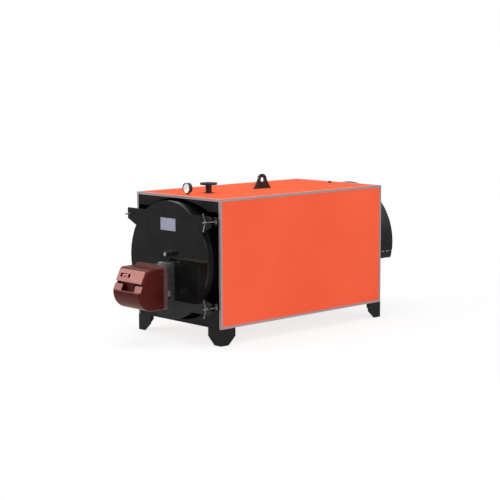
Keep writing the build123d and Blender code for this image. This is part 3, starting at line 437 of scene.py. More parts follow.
def dress(node, material, bevel=0.0, segments=2):
    """Give a CAD node its material; optionally ease its sharp edges with modifiers alone."""
    obj = nodes[node]
    obj.data.materials.clear()
    obj.data.materials.append(material)
    if bevel:
        flat = obj.modifiers.new("merge_flat_faces", "DECIMATE")
        flat.decimate_type = "DISSOLVE"
        flat.angle_limit = math.radians(1.0)
        ease = obj.modifiers.new("ease_edges", "BEVEL")
        ease.width = bevel
        ease.segments = segments
        ease.limit_method = "ANGLE"
        ease.angle_limit = math.radians(40.0)
        ease.use_clamp_overlap = True
        ease.harden_normals = False


for material, names in (
    (ORANGE, ("side_panel_left", "side_panel_right", "top_panel", "rear_panel", "bottom_panel")),
    (CASE_BLACK, ("front_upper_plate", "front_lower_plate", "nozzle_collar")),
    (BOX_BLACK, ("smoke_box", "soot_tray", "flue_spigot")),
    (DOOR_BLACK, ("door_plate",)),
    (RING_BLACK, ("door_ring",)),
    (LEG_BLACK, ("hinge_forks", "closure_forks")),
    (DRUM_SHADE_BLACK, ("drum_shell",)),
    (NOZZLE_BLACK, ("supply_nozzle", "top_socket")),
    (GAUGE_BLACK, ("gauge_case", "sight_tube")),
    (INNER_STEEL, ("front_tube_plate", "rear_tube_plate", "furnace_tube", "smoke_tubes")),
    (FRAME_STEEL, ("base_frame",)),
    (HEAT_STEEL, ("blast_tube",)),
    (ZINC, ("swing_bolt_upper", "swing_bolt_lower", "handle_nut_upper", "handle_nut_lower")),
    (DARK_ZINC, ("hinge_bolts",)),
    (LACQUER, ("burner_cover",)),
    (CAST, ("burner_housing",)),
    (LINING, ("door_lining",)),
    (ROPE, ("door_seal",)),
    (GASKET, ("smoke_box_joint",)),
    (PLATE, ("blank_plate",)),
    (DIAL, ("gauge_dial",)),
    (SIGHT_GLASS_PAINTED_REFLECTION, ("sight_glass",)),
):
    for name in names:
        dress(name, material)

for name in ("edge_trim_left", "edge_trim_right", "edge_trims_across"):
    dress(name, TRIM, 0.0007)
dress("legs", LEG_BLACK, 0.0015)
dress("lifting_lug", LUG_BLACK, 0.0015)
dress("burner_rim", RIM_LACQUER, 0.003, 3)


# Small helpers that build the added pieces

def piece(name, bm, material, body, smooth=35.0):
    """Turn a bmesh into a piece of the object that rides on a body."""
    bmesh.ops.recalc_face_normals(bm, faces=bm.faces)
    mesh = bpy.data.meshes.new(name)
    bm.to_mesh(mesh)
    bm.free()
    obj = bpy.data.objects.new(name, mesh)
    scene.collection.objects.link(obj)
    mesh.materials.append(material)
    mesh.shade_smooth()
    mesh.set_sharp_from_angle(angle=math.radians(smooth))
    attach(obj, body)
    return obj


def lathe(bm, profile, place, axis, segments=32):
    """Turn a list of (radius, distance along the axis) about an axis through place."""
    axis = Vector(axis).normalized()
    side = axis.orthogonal().normalized()
    up = axis.cross(side)
    rings = []
    for radius, along in profile:
        centre = Vector(place) + axis * along
        if radius < 1e-6:
            rings.append([bm.verts.new(centre)])
            continue
        rings.append([
            bm.verts.new(centre + (side * math.cos(a) + up * math.sin(a)) * radius)
            for a in (2 * math.pi * step / segments for step in range(segments))
        ])
    for a, b in zip(rings, rings[1:]):
        for step in range(segments):
            after = (step + 1) % segments
            corners = (a[step % len(a)], a[after % len(a)], b[after % len(b)], b[step % len(b)])
            corners = list(dict.fromkeys(corners))
            if len(corners) > 2:
                bm.faces.new(corners)


def hex_bolt(bm, place, axis, flats, height, washer=0.0):
    """A hexagon head with its chamfer, on a washer if asked."""
    base = 0.0
    if washer:
        base = 0.002
        ring = [(0, 0), (washer, 0), (washer, 0.0016), (washer - 0.0005, base), (0, base)]
        lathe(bm, ring, place, axis, 24)
    corner = flats / math.sqrt(3)
    seat = Vector(place) + Vector(axis).normalized() * base
    head = [(0, 0), (corner, 0), (corner, height - flats * 0.09), (corner * 0.88, height), (0, height)]
    lathe(bm, head, seat, axis, 6)


def rivet(bm, place, axis, radius):
    """A domed blind rivet with its small centre dimple."""
    dome = [(1.0, 0), (0.95, 0.25), (0.6, 0.5), (0.3, 0.52), (0.24, 0.36), (0, 0.34)]
    lathe(bm, [(radius * wide, radius * high) for wide, high in dome], place, axis, 12)


def ring_points(place, axis, radius, count, start=0.0, end=2 * math.pi):
    """Points round a circle or an arc."""
    axis = Vector(axis).normalized()
    side = Vector((1, 0, 0)) if abs(axis.x) < 0.9 else Vector((0, 1, 0))
    side = (side - axis * side.dot(axis)).normalized()
    up = axis.cross(side)
    full = abs(end - start) > 2 * math.pi - 1e-6
    steps = count if full else count - 1
    angles = [start + (end - start) * n / steps for n in range(count)]
    return [Vector(place) + (side * math.cos(a) + up * math.sin(a)) * radius for a in angles]


def line_points(a, b, step):
    """Evenly spaced points along a straight run."""
    a, b = Vector(a), Vector(b)
    count = max(2, int((b - a).length / step) + 1)
    return [a.lerp(b, n / (count - 1)) for n in range(count)]


def spaced(first, last, count):
    """Evenly spaced numbers from first to last."""
    return [first + (last - first) * n / (count - 1) for n in range(count)]


def upright_directions(angle):
    """The outward and the crosswise direction at an angle in an upright plane across the machine."""
    out = Vector((math.cos(angle), 0, math.sin(angle)))
    across = Vector((-math.sin(angle), 0, math.cos(angle)))
    return out, across


def tube(bm, points, radius, sides=8, closed=False, ripple=0.0):
    """A round bar along points; a ripple makes it a weld bead."""
    count = len(points)
    rings = []
    normal = None
    for n, point in enumerate(points):
        before = points[n - 1] if n or closed else point
        after = points[(n + 1) % count] if n < count - 1 or closed else point
        along = (after - before).normalized()
        if normal is None:
            normal = along.orthogonal().normalized()
        normal = (normal - along * normal.dot(along)).normalized()
        other = along.cross(normal)
        size = radius * (1.0 + ripple * math.sin(2 * math.pi * n / RIPPLE_PITCH))
        if not closed and n in (0, count - 1):
            size *= END_TAPER
        rings.append([
            bm.verts.new(point + (normal * math.cos(a) + other * math.sin(a)) * size)
            for a in (2 * math.pi * k / sides for k in range(sides))
        ])
    pairs = list(zip(rings, rings[1:]))
    if closed:
        last, first = rings[-1], rings[0]
        shift = min(range(sides), key=lambda k: (last[0].co - first[k].co).length)
        pairs.append((last, first[shift:] + first[:shift]))
    for a, b in pairs:
        for k in range(sides):
            m = (k + 1) % sides
            bm.faces.new((a[k], a[m], b[m], b[k]))
    if not closed:
        bm.faces.new(rings[0][::-1])
        bm.faces.new(rings[-1])


def weld_ring(bm, place, axis, radius, count, bead, sides, ripple=0.0):
    """A closed bead round a circle."""
    tube(bm, ring_points(place, axis, radius, count), bead, sides, closed=True, ripple=ripple)


def box(bm, low, high, ease):
    """A rectangular block between two corners, its edges eased."""
    made = bmesh.ops.create_cube(bm, size=1.0)
    middle = (Vector(low) + Vector(high)) / 2
    size = Vector(high) - Vector(low)
    for vert in made["verts"]:
        vert.co = middle + Vector((vert.co.x * size.x, vert.co.y * size.y, vert.co.z * size.z))
    edges = {edge for vert in made["verts"] for edge in vert.link_edges}
    bmesh.ops.bevel(bm, geom=list(edges), offset=ease, segments=3, profile=0.5, affect="EDGES")


def outline_solid(bm, points, direction):
    """Extrude a closed outline along a direction."""
    face = bm.faces.new([bm.verts.new(point) for point in points])
    grown = bmesh.ops.extrude_face_region(bm, geom=[face])
    for item in grown["geom"]:
        if isinstance(item, bmesh.types.BMVert):
            item.co += Vector(direction)


# The pieces added to the CAD nodes, from the burner to the legs

def hood_screws():
    """Screws that hold the hood."""
    bm = bmesh.new()
    reach, heights, radius = 0.370, (0.385, 0.670), 0.0042
    for side in SIDES:
        for height in heights:
            rivet(bm, (side * HOOD_HALF, FRONT - reach, height), (side, 0, 0), radius)
    piece("hood_screws", bm, DARK_ZINC, DOOR)


def side_rib(bm, side, stand, front_reach, rear_reach, ease):
    """An upright rib on one side of the cast housing, sunk a little into it."""
    low_z, high_z = 0.424, 0.694
    low_x, high_x = sorted((side * (HOUSING_HALF - SINK), side * (HOUSING_HALF + stand)))
    box(bm, (low_x, FRONT - front_reach, low_z), (high_x, FRONT - rear_reach, high_z), ease)


def housing_ribs():
    """Cast housing between hood and door: ribs, the flange's lip and a round boss."""
    bm = bmesh.new()
    rib_half = 0.0035
    for side in SIDES:
        for reach in (0.264, 0.232, 0.200, 0.168):
            side_rib(bm, side, 0.0045, reach + rib_half, reach - rib_half, 0.0016)
        side_rib(bm, side, 0.0065, 0.2978, 0.286, 0.002)
        boss = [(0.017, 0), (0.017, 0.007), (0.015, 0.009), (0, 0.009)]
        lathe(bm, boss, (side * (HOUSING_HALF - SINK), BOSS_Y, BOSS_Z), (side, 0, 0), 28)
    piece("housing_ribs", bm, CAST, DOOR, 40.0)


def housing_fittings():
    """The bosses' bolts, and two unions on top of the housing."""
    bm = bmesh.new()
    for side in SIDES:
        hex_bolt(bm, (side * (HOUSING_HALF + 0.0085), BOSS_Y, BOSS_Z), (side, 0, 0), 0.013, 0.007)
    nut = 0.009
    for x, reach, tall in ((0.052, 0.178, 0.020), (0.060, 0.146, 0.014)):
        end = nut + tall
        union = [(0.0, 0), (0.010, 0), (0.010, nut), (0.0072, nut + 0.002), (0.0072, end), (0, end)]
        lathe(bm, union, (x, FRONT - reach, HOUSING_TOP), UP, 6)
    piece("housing_fittings", bm, ZINC, DOOR)


def damper_box():
    """Small grey actuator on the housing, with its knob."""
    bm = bmesh.new()
    box(bm, (0.034, FRONT - 0.268, HOUSING_TOP), (0.076, FRONT - 0.222, 0.757), 0.004)
    knob = [(0.008, 0), (0.008, 0.010), (0.006, 0.013), (0, 0.013)]
    lathe(bm, knob, (0.055, FRONT - 0.2225, 0.743), BACK, 20)
    piece("damper_box", bm, GREY_BOX, DOOR, 40.0)


def terminal_box():
    """Terminal box low on the housing's right side, with its lid and three glands."""
    bm = bmesh.new()
    box(bm, (HOUSING_HALF - SINK, FRONT - 0.258, 0.430), (0.1000, FRONT - 0.174, 0.486), 0.004)
    box(bm, (0.0995, FRONT - 0.250, 0.439), (0.1020, FRONT - 0.182, 0.477), 0.001)
    piece("terminal_box", bm, GREY_BOX, DOOR, 40.0)

    bm = bmesh.new()
    gland = [(0.0065, 0), (0.0065, 0.010), (0.0045, 0.018), (0, 0.018)]
    for reach in (0.247, 0.217, 0.187):
        lathe(bm, gland, (0.0915, FRONT - reach, 0.4305), DOWN, 16)
    piece("terminal_glands", bm, RUBBER, DOOR, 40.0)


def sight_fittings():
    """Sight tube: holder ring, clamp screws and flange screws."""
    end = Vector((0.042, DOOR_FACE - 0.070, 0.824))
    bm = bmesh.new()
    holder = [
        (0.0185, -0.0010), (0.0185, 0.0050), (0.0195, 0.0060), (0.0252, 0.0060),
        (0.0265, 0.0045), (0.0265, -0.0120), (0.0256, -0.0130), (0.0249, -0.0130),
    ]
    lathe(bm, holder, end, AHEAD, 48)
    piece("sight_holder", bm, GAUGE_BLACK, DOOR, 40.0)

    bm = bmesh.new()
    clamp = [(0.0028, 0), (0.0028, 0.0035), (0.0022, 0.0045), (0, 0.0045)]
    flange = Vector((end.x, DOOR_FACE - 0.008, end.z))
    for n in range(3):
        out, _ = upright_directions(math.radians(90 + 120 * n))
        lathe(bm, clamp, end + out * 0.0262 + Vector((0, 0.005, 0)), out, 12)
        hex_bolt(bm, flange + out * 0.0290, AHEAD, 0.005, 0.003)
    piece("sight_screws", bm, DARK_ZINC, DOOR)


def plate_border():
    """Blank plate: raised border and corner rivets."""
    bm = bmesh.new()
    low_x, high_x, low_z, high_z = -0.1045, 0.1125, 1.0365, 1.1535
    y = DOOR_FACE - 0.002
    inset = 0.006
    rivet_inset = 0.011
    corners = [
        Vector((low_x + inset, y, low_z + inset)), Vector((high_x - inset, y, low_z + inset)),
        Vector((high_x - inset, y, high_z - inset)), Vector((low_x + inset, y, high_z - inset)),
    ]
    for a, b in zip(corners, corners[1:] + corners[:1]):
        tube(bm, line_points(a, b, 0.02), 0.0008, 6)
    for x in (low_x + rivet_inset, high_x - rivet_inset):
        for z in (low_z + rivet_inset, high_z - rivet_inset):
            rivet(bm, (x, y, z), AHEAD, 0.0032)
    piece("plate_border", bm, PLATE, DOOR)


def body_welds():
    """Welds on the door, the forks and the drum."""
    bm = bmesh.new()
    weld_ring(bm, (0, DOOR_FACE + 0.0135, DRUM_Z), BACK, 0.5560, 900, 0.0032, 7, 0.12)
    piece("door_ring_weld", bm, WELD, DOOR, 60.0)

    bm = bmesh.new()
    fork_half = 0.028
    for side in SIDES:
        for rise in SIDES:
            for edge in (-fork_half, fork_half):
                height = rise * CLOSURE_RISE + edge
                x = side * (math.sqrt(DRUM_RADIUS ** 2 - height ** 2) + 0.001)
                ends = (x, FRONT - 0.012, DRUM_Z + height), (x, FRONT + 0.022, DRUM_Z + height)
                tube(bm, line_points(*ends, 0.0014), 0.0040, 7, ripple=0.14)
    piece("fork_welds", bm, WELD, BOILER, 60.0)

    bm = bmesh.new()
    weld_ring(bm, (0, FRONT - 0.0415, DRUM_Z), BACK, DRUM_RADIUS + 0.0002, 900, 0.0024, 6, 0.12)
    piece("flange_weld", bm, WELD, BOILER, 60.0)


def fork_fittings():
    """Caps on the forks' pins, and washers under the hinge nuts."""
    bm = bmesh.new()
    cap = [(0.0105, 0), (0.0105, 0.0025), (0.0090, 0.0040), (0, 0.0040)]
    pin_half = 0.032
    for side in SIDES:
        for height in CLOSURES:
            for end in SIDES:
                lathe(bm, cap, (side * CLOSURE_X, PIN_Y, height + end * pin_half), (0, 0, end), 24)
    piece("pin_caps", bm, DARK_ZINC, BOILER, 40.0)

    bm = bmesh.new()
    washer = [(0.0062, 0), (0.0120, 0), (0.0120, 0.0016), (0.0062, 0.0016)]
    for height in CLOSURES:
        for start, way in ((DOOR_FACE - 0.012, AHEAD), (DOOR_FACE + 0.024, BACK)):
            lathe(bm, washer, (-CLOSURE_X, start, height), way, 32)
    piece("hinge_washers", bm, DARK_ZINC, DOOR, 40.0)


def rod_threads():
    """Screw threads on the four rods, as fine rings."""
    root, crest, pitch = 0.00602, 0.00632, 0.00125
    for name, side, heights, first, last, body in (
        ("hinge_threads", -1, CLOSURES, 0.113, 0.1605, DOOR),
        ("upper_thread", 1, CLOSURES[:1], 0.082, 0.1560, UPPER_BOLT),
        ("lower_thread", 1, CLOSURES[1:], 0.082, 0.1560, LOWER_BOLT),
    ):
        bm = bmesh.new()
        profile = []
        along = first
        while along < last:
            profile += [(root, along), (crest, along + 0.0006), (root, along + 0.0012)]
            along += pitch
        for height in heights:
            lathe(bm, profile, (side * CLOSURE_X, PIN_Y, height), AHEAD, 20)
        piece(name, bm, DARK_ZINC if side < 0 else ZINC, body, 60.0)


def handle_ends():
    """Rounded ends on the handles' arms, and the collars of each hub."""
    ear_margin, ear_front, clearance = 0.042, 0.100, 0.005
    arm_reach, arm_sweep = 0.076, 0.024
    hub_back = PIN_Y - (math.hypot(ear_margin, ear_front) + clearance)
    root = hub_back - 0.012
    knob = [
        (0.0046, -0.003), (0.0057, -0.0015), (0.0066, 0.001), (0.0066, 0.003),
        (0.0056, 0.0055), (0.0033, 0.0072), (0, 0.0078),
    ]
    back_collar = [(0.0129, 0.001), (0.0140, 0.002), (0.0140, 0.005), (0.0129, 0.006)]
    front_collar = [(0.0061, 0.0240), (0.0100, 0.0244), (0.0112, 0.0240), (0.0131, 0.0215)]
    for name, height, body in (
        ("upper_handle_ends", CLOSURES[0], UPPER_BOLT),
        ("lower_handle_ends", CLOSURES[1], LOWER_BOLT),
    ):
        bm = bmesh.new()
        for end in SIDES:
            tip = (CLOSURE_X, root - arm_sweep, height + end * arm_reach)
            lathe(bm, knob, tip, (0, -arm_sweep, end * arm_reach), 24)
        for collar in (back_collar, front_collar):
            lathe(bm, collar, (CLOSURE_X, hub_back, height), AHEAD, 40)
        piece(name, bm, ZINC, body, 40.0)


def casing_fasteners():
    """Rivets along the trims, screws on the front plates and on the rear panel."""
    bm = bmesh.new()
    trim_middle = 0.0115
    size = 0.0026
    long_run = (FRONT + 0.06, REAR - 0.06)
    tall_run = (BOTTOM + 0.15, TOP - 0.15)
    for side in SIDES:
        x = side * (CASING_HALF - trim_middle)
        for y in spaced(*long_run, 10):
            rivet(bm, (x, y, TOP), UP, size)
            rivet(bm, (x, y, BOTTOM), DOWN, size)
        for z in spaced(*tall_run, 4):
            rivet(bm, (x, FRONT, z), AHEAD, size)
            rivet(bm, (x, REAR, z), BACK, size)
    for x in spaced(-0.5, 0.5, 5):
        for y in (FRONT + trim_middle, REAR - trim_middle):
            rivet(bm, (x, y, TOP), UP, size)
    piece("trim_rivets", bm, TRIM, BOILER, 50.0)

    bm = bmesh.new()
    corners, middle = (1.262, 0.182), (0.176,)
    for x, heights in ((-0.555, corners), (0.555, corners), (-0.27, middle), (0.27, middle)):
        for z in heights:
            hex_bolt(bm, (x, FRONT + 0.004, z), AHEAD, 0.010, 0.0055, 0.009)
    piece("front_plate_screws", bm, CASE_BLACK, BOILER)

    bm = bmesh.new()
    for side in SIDES:
        for z in (0.210, 0.620, 1.030, 1.310):
            hex_bolt(bm, (side * 0.575, REAR - 0.004, z), BACK, 0.010, 0.0055, 0.009)
    piece("rear_panel_screws", bm, DARK_ZINC, BOILER)


def lug_seal():
    """Rubber strip round the lifting lug where it comes through the top."""
    bm = bmesh.new()
    lug_y = FRONT + 1.100
    lug_half, reach, width = 0.0085, 0.1215, 0.0065
    low_z, high_z = TOP - 0.0021, TOP + 0.0012
    for side in SIDES:
        low_x, high_x = sorted((side * lug_half, side * (lug_half + width)))
        box(bm, (low_x, lug_y - reach, low_z), (high_x, lug_y + reach, high_z), 0.0012)
        low_y, high_y = sorted((lug_y + side * (reach - width), lug_y + side * reach))
        box(bm, (-lug_half, low_y, low_z), (lug_half, high_y, high_z), 0.0012)
    piece("lug_seal", bm, RUBBER, BOILER, 40.0)


def nozzle_details():
    """Supply nozzle: its two welds, and the flange's raised face with three grooves."""
    y = FRONT + 0.394
    flange_top = TOP + 0.097
    bm = bmesh.new()
    weld_ring(bm, (0, y, flange_top - 0.0190), UP, 0.0310, 110, 0.0028, 8, 0.14)
    weld_ring(bm, (0, y, TOP + 0.0030), UP, 0.0308, 110, 0.0020, 8, 0.10)
    piece("nozzle_welds", bm, WELD, BOILER, 60.0)

    bm = bmesh.new()
    face, groove = 0.0020, 0.0016
    profile = [(0.0272, 0.0), (0.0272, face)]
    for radius in (0.0335, 0.0390, 0.0445):
        profile += [(radius - 0.0005, face), (radius, groove), (radius + 0.0010, face)]
    profile += [(0.0500, face), (0.0510, 0.0)]
    lathe(bm, profile, (0, y, flange_top), UP, 64)
    piece("nozzle_raised_face", bm, NOZZLE_BLACK, BOILER, 40.0)


def socket_seal():
    """Sealant round the plugged socket."""
    bm = bmesh.new()
    weld_ring(bm, (0, FRONT + 2.076, TOP - 0.0015), UP, 0.0215, 90, 0.0022, 8)
    piece("socket_seal", bm, RUBBER, BOILER, 60.0)


def gauge_rim():
    """The rosette under the gauge's stem, and the bezel round its dial."""
    bm = bmesh.new()
    rosette = [(0.0072, 0), (0.0150, 0), (0.0155, 0.0012), (0.0150, 0.0024), (0.0072, 0.0024)]
    lathe(bm, rosette, (GAUGE.x, GAUGE.y, TOP - 0.002), UP, 36)
    piece("gauge_rosette", bm, BRASS, BOILER, 40.0)

    bm = bmesh.new()
    bezel = [
        (0.0455, 0.0015), (0.0457, -0.0015), (0.0470, -0.0030), (0.0490, -0.0032),
        (0.0507, -0.0015), (0.0507, 0.0060), (0.0500, 0.0070),
    ]
    lathe(bm, bezel, (GAUGE.x, DIAL_Y, GAUGE.z), BACK, 72)
    piece("gauge_bezel", bm, GAUGE_BLACK, BOILER, 40.0)


def gauge_marks():
    """Fifty marks on an arc, every fifth one long, and the figures 0 to 10 inside it."""
    bm = bmesh.new()
    centre = Vector((GAUGE.x, MARK_Y, GAUGE.z))
    outer = 0.0410
    for n in range(51):
        out, across = upright_directions(math.radians(DIAL_START - DIAL_SWEEP * n / 50))
        inner, half = (0.0345, 0.00055) if n % 5 == 0 else (0.0375, 0.00028)
        outline_solid(bm, [
            centre + out * inner - across * half, centre + out * outer - across * half,
            centre + out * outer + across * half, centre + out * inner + across * half,
        ], (0, 0.0004, 0))
    ends = math.radians(DIAL_START - DIAL_SWEEP), math.radians(DIAL_START)
    arc = ring_points((GAUGE.x, MARK_Y + 0.0002, GAUGE.z), AHEAD, 0.0415, 90, *ends)
    tube(bm, arc, 0.00032, 5)
    piece("gauge_marks", bm, DIAL_INK, BOILER, 50.0)

    for number in range(0, 11, 2):
        out, _ = upright_directions(math.radians(DIAL_START - DIAL_SWEEP * number / 10))
        words = bpy.data.curves.new(f"figure_{number}", "FONT")
        words.body = str(number)
        words.size = 0.0100
        words.align_x = "CENTER"
        words.align_y = "CENTER"
        words.extrude = 0.0002
        words.materials.append(DIAL_INK)
        figure = bpy.data.objects.new(f"gauge_figure_{number}", words)
        scene.collection.objects.link(figure)
        figure.location = centre + out * 0.0275
        figure.rotation_euler = (math.radians(90), 0, 0)
        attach(figure, BOILER)


def gauge_needle():
    """The needle on its hub, near the second mark with a figure."""
    bm = bmesh.new()
    reading = 1.6
    out, across = upright_directions(math.radians(DIAL_START - DIAL_SWEEP * reading / 10))
    pivot = Vector((GAUGE.x, MARK_Y - 0.0012, GAUGE.z))
    tail, shoulder, tip = out * -0.011, out * 0.033, out * 0.035
    outline_solid(bm, [
        pivot + tail - across * 0.0016, pivot + shoulder - across * 0.0003, pivot + tip,
        pivot + shoulder + across * 0.0003, pivot + tail + across * 0.0016,
    ], (0, 0.0005, 0))
    lathe(bm, [(0.0034, 0.0), (0.0034, 0.0010), (0.0026, 0.0016), (0, 0.0018)], pivot, AHEAD, 24)
    piece("gauge_needle", bm, DIAL_INK, BOILER, 40.0)


def gauge_glass():
    """The slightly crowned glass; it throws no shadow on the dial."""
    bm = bmesh.new()
    pane = [(0, -0.0006), (0.030, -0.0003), (0.0455, 0.0006), (0.0455, 0.0014), (0.030, 0.0006), (0, 0.0003)]
    lathe(bm, pane, (GAUGE.x, DIAL_Y, GAUGE.z), BACK, 64)
    glass = piece("gauge_glass", bm, GLASS, BOILER, 60.0)
    glass.visible_shadow = False


def smoke_box_welds():
    """Seams of the smoke box, the weld at its spigot, and the beads rolled into the spigot."""
    bm = bmesh.new()
    flat_angle = math.asin(0.085 / SMOKE_BOX_RADIUS)
    for y in (REAR + 0.0015, REAR + 0.196):
        ends = -flat_angle, math.pi + flat_angle
        seam = ring_points((0, y, DRUM_Z), AHEAD, SMOKE_BOX_RADIUS - SINK, 620, *ends)
        tube(bm, seam, 0.0026, 7, ripple=0.12)
    weld_ring(bm, (0, REAR + 0.1965, SPIGOT_Z), BACK, 0.1262, 300, 0.0030, 8, 0.14)
    piece("smoke_box_welds", bm, WELD, BOILER, 60.0)

    bm = bmesh.new()
    for reach in (0.098, 0.115):
        weld_ring(bm, (0, REAR + 0.196 + reach, SPIGOT_Z), BACK, 0.1250, 120, 0.0016, 8)
    piece("spigot_beads", bm, BOX_BLACK, BOILER, 60.0)


def tray_clips():
    """Clips across the joint of smoke box and tray, each with a bolt above and below it."""
    bm = bmesh.new()
    clip_half = 0.011
    low_z, high_z = DRUM_Z - 0.110, DRUM_Z - 0.068
    bolt_heights = (DRUM_Z - 0.078, DRUM_Z - 0.101)
    flange_half = math.sqrt(SMOKE_BOX_RADIUS ** 2 - 0.093 ** 2)
    for side in SIDES:
        for y in (REAR + 0.030, REAR + 0.095, REAR + 0.160):
            low_x, high_x = sorted((side * (flange_half - 0.006), side * (flange_half + 0.004)))
            box(bm, (low_x, y - clip_half, low_z), (high_x, y + clip_half, high_z), 0.002)
            for z in bolt_heights:
                hex_bolt(bm, (side * (flange_half + 0.004), y, z), (side, 0, 0), 0.010, 0.006, 0.0085)
    for x in spaced(-0.45, 0.45, 7):
        box(bm, (x - clip_half, REAR + 0.192, low_z), (x + clip_half, REAR + 0.200, high_z), 0.002)
        for z in bolt_heights:
            hex_bolt(bm, (x, REAR + 0.200, z), BACK, 0.010, 0.006, 0.0085)
    piece("tray_clips", bm, BOX_BLACK, BOILER, 40.0)


def tube_places():
    """Centres of the smoke tubes, row by row, as (x, z)."""
    places = []
    for radius, count, pitch in ((0.450, 13, 0.133), (0.335, 9, 0.125), (0.215, 4, 0.104)):
        step = 2 * math.asin(pitch / (2 * radius))
        for index in range(count):
            angle = math.pi / 2 + (index - (count - 1) / 2) * step
            places.append((radius * math.cos(angle), DRUM_Z + radius * math.sin(angle)))
    return places


def fire_side_welds():
    """Seal welds at the tube ends, round the furnace and round the tube plate."""
    bm = bmesh.new()
    for x, z in tube_places():
        weld_ring(bm, (x, FRONT + 0.0698, z), BACK, 0.0362, 72, 0.0022, 6, 0.12)
        weld_ring(bm, (x, REAR - 0.0098, z), BACK, 0.0362, 48, 0.0022, 5)
    weld_ring(bm, (0, FRONT + 0.0695, FURNACE_Z), BACK, 0.2365, 420, 0.0042, 8, 0.12)
    weld_ring(bm, (0, FRONT + 0.0690, DRUM_Z), BACK, 0.5345, 700, 0.0038, 7, 0.12)
    piece("fire_side_welds", bm, INNER_WELD, BOILER, 60.0)


def swirl_plate():
    """The burner's swirl plate in the blast tube: a hub ring, twelve blades and three stays."""
    bm = bmesh.new()
    middle = Vector((0, FRONT + 0.120, FURNACE_Z))
    lathe(bm, [(0.016, 0), (0.016, 0.003), (0.052, 0.003), (0.052, 0), (0.016, 0)], middle, BACK, 48)
    blades = 12
    inner, outer = 0.020, 0.048
    for n in range(blades):
        out, across = upright_directions(2 * math.pi * n / blades)
        root = middle + Vector((0, 0.004, 0)) + out * inner
        tip = middle + Vector((0, 0.004, 0)) + out * outer
        outline_solid(bm, [
            root - across * 0.0015, tip - across * 0.0040,
            tip + across * 0.0020 + Vector((0, 0.005, 0)), root + across * 0.0010 + Vector((0, 0.003, 0)),
        ], (0, 0.0012, 0))
    lathe(bm, [(0.009, -0.06), (0.009, 0.004), (0.005, 0.010), (0, 0.010)], middle, BACK, 24)
    for angle in (0.5, 2.6, 4.7):
        out, _ = upright_directions(angle)
        tube(bm, line_points(middle + out * 0.050, middle + out * 0.0705, 0.005), 0.003, 8)
    piece("swirl_plate", bm, HEAT_STEEL, DOOR, 40.0)


def leg_welds():
    """Fillet welds where the legs meet the casing."""
    bm = bmesh.new()
    z = BOTTOM - 0.001
    middle, near, far = 0.0100, 0.012, 0.176
    for side in SIDES:
        for edge, inward in ((FRONT, 1), (REAR, -1)):
            for run in (((middle, near), (middle, far)), ((near, middle), (far, middle))):
                ends = [(side * (CASING_HALF - x), edge + inward * y, z) for x, y in run]
                tube(bm, line_points(*ends, 0.0016), 0.0036, 7, ripple=0.14)
    piece("leg_welds", bm, WELD, BOILER, 60.0)


for build in (
    hood_screws, housing_ribs, housing_fittings, damper_box, terminal_box, sight_fittings, plate_border,
    body_welds, fork_fittings, rod_threads, handle_ends, casing_fasteners, lug_seal, nozzle_details,
    socket_seal, gauge_rim, gauge_marks, gauge_needle, gauge_glass, smoke_box_welds, tray_clips,
    fire_side_welds, swirl_plate, leg_welds,
):
    build()


# Camera, floor, surroundings and lamps

def photo_camera():
    """The photograph's own place, angle and lens."""
    data = bpy.data.cameras.new("camera")
    data.sensor_width = 36.0
    data.lens = 96.631
    data.clip_start = 0.1
    data.clip_end = 200.0
    camera = bpy.data.objects.new("camera", data)
    scene.collection.objects.link(camera)
    place = Matrix.Translation((9.621, FRONT - 8.080, 2.509))
    turn = Matrix.Rotation(math.radians(46.866), 4, "Z")
    tilt = Matrix.Rotation(math.radians(90.0 - 7.587), 4, "X")
    roll = Matrix.Rotation(math.radians(-0.220), 4, "Z")
    camera.matrix_world = place @ turn @ tilt @ roll
    scene.camera = camera


def seen_directly(tree, path):
    """1 where the camera, a mirror or a glass sees the surroundings."""
    seen = path.outputs["Is Camera Ray"]
    for ray in ("Is Glossy Ray", "Is Transmission Ray"):
        node = tree.nodes.new("ShaderNodeMath")
        node.operation = "MAXIMUM"
        tree.links.new(seen, node.inputs[0])
        tree.links.new(path.outputs[ray], node.inputs[1])
        seen = node.outputs[0]
    return seen


def white_floor():
    """A white floor that keeps the object's shadow.

    It glows plain white further off, and greyer where the paint mirrors it.
    """
    edge = 40.0
    mesh = bpy.data.meshes.new("floor")
    corners = [(-edge, -edge, 0), (edge, -edge, 0), (edge, edge, 0), (-edge, edge, 0)]
    mesh.from_pydata(corners, [], [(0, 1, 2, 3)])
    floor = bpy.data.objects.new("floor", mesh)
    scene.collection.objects.link(floor)

    t = Tree("floor_white")
    t.finish(t.ramp(t.noise(2.0, 4.0, 0.5), (0.3, 0.80), (0.8, 0.84)), 0.9)
    glow = t.node("Emission", Strength=1.0)
    path = t.node("LightPath")
    away = t.node("VectorMath")
    away.operation = "LENGTH"
    t.link(t.scaled((1.0, 0.62, 0.0)), away.inputs[0])
    reach = 5.0
    far = t.math("DIVIDE", away.outputs["Value"], reach)
    shown = t.ramp(far, (0.24, 0.80), (0.62, 1.0))
    mirrored = t.ramp(far, (0.22, 0.62), (0.60, 0.34))
    t.link(t.mix(path.outputs["Is Glossy Ray"], (1.0, 1.0, 1.0), mirrored), glow.inputs["Color"])
    blend = t.node("MixShader")
    t.link(t.math("MULTIPLY", seen_directly(t.tree, path), shown), blend.inputs[0])
    t.link(t.shader.outputs[0], blend.inputs[1])
    t.link(glow.outputs[0], blend.inputs[2])
    t.link(blend.outputs[0], t.out.inputs[0])
    mesh.materials.append(t.material)


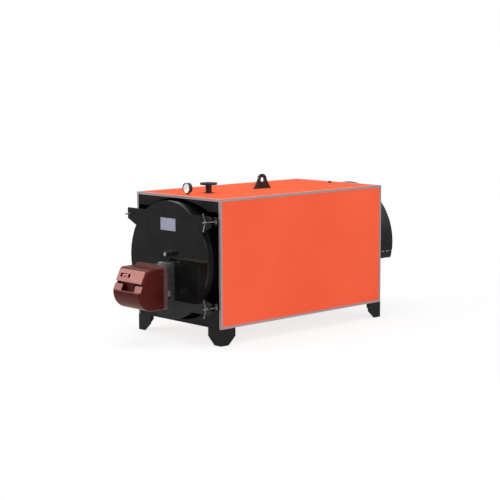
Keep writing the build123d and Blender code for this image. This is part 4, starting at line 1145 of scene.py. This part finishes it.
def white_world():
    """White to look at and an even fill; mirrored in the paint it darkens towards the horizon."""
    world = bpy.data.worlds.new("world")
    scene.world = world
    world.use_nodes = True
    tree = world.node_tree
    tree.nodes.clear()
    new, link = tree.nodes.new, tree.links.new
    way = new("ShaderNodeTexCoord")
    height = new("ShaderNodeSeparateXYZ")
    link(way.outputs["Generated"], height.inputs[0])
    sky = new("ShaderNodeValToRGB")
    link(height.outputs["Z"], sky.inputs["Fac"])
    horizon, overhead = (0.10, 0.20), (0.40, 1.0)
    for element, (place, tone) in zip(sky.color_ramp.elements, (horizon, overhead)):
        element.position = place
        element.color = (tone, tone, tone, 1.0)

    path = new("ShaderNodeLightPath")
    mirror = new("ShaderNodeMix")
    mirror.data_type = "RGBA"
    mirror.inputs[6].default_value = (1, 1, 1, 1)
    link(path.outputs["Is Glossy Ray"], mirror.inputs[0])
    link(sky.outputs["Color"], mirror.inputs[7])
    shown = new("ShaderNodeBackground")
    shown.inputs["Strength"].default_value = 1.0
    link(mirror.outputs[2], shown.inputs["Color"])
    fill = new("ShaderNodeBackground")
    fill.inputs["Color"].default_value = (1.0, 1.0, 1.0, 1)
    fill.inputs["Strength"].default_value = 0.55

    blend = new("ShaderNodeMixShader")
    link(seen_directly(tree, path), blend.inputs[0])
    link(fill.outputs[0], blend.inputs[1])
    link(shown.outputs[0], blend.inputs[2])
    link(blend.outputs[0], new("ShaderNodeOutputWorld").inputs[0])


def area_light(name, place, aim, size, power):
    """A soft rectangular lamp."""
    data = bpy.data.lights.new(name, "AREA")
    data.shape = "RECTANGLE"
    data.size, data.size_y = size
    data.energy = power
    lamp = bpy.data.objects.new(name, data)
    lamp.location = place
    lamp.rotation_mode = "QUATERNION"
    lamp.rotation_quaternion = (Vector(aim) - Vector(place)).to_track_quat("-Z", "Y")
    scene.collection.objects.link(lamp)


photo_camera()
white_floor()
white_world()
area_light("key_left_front", (-6.1, -5.8, 4.7), (0, -0.9, 0.7), (4.5, 3.0), 420)
area_light("overhead", (0.5, -0.5, 6.5), (0, 0.2, 0.5), (6.0, 6.0), 330)
area_light("side_fill", (7.5, 1.0, 3.4), (0.6, 0.2, 0.7), (5.0, 3.0), 165)
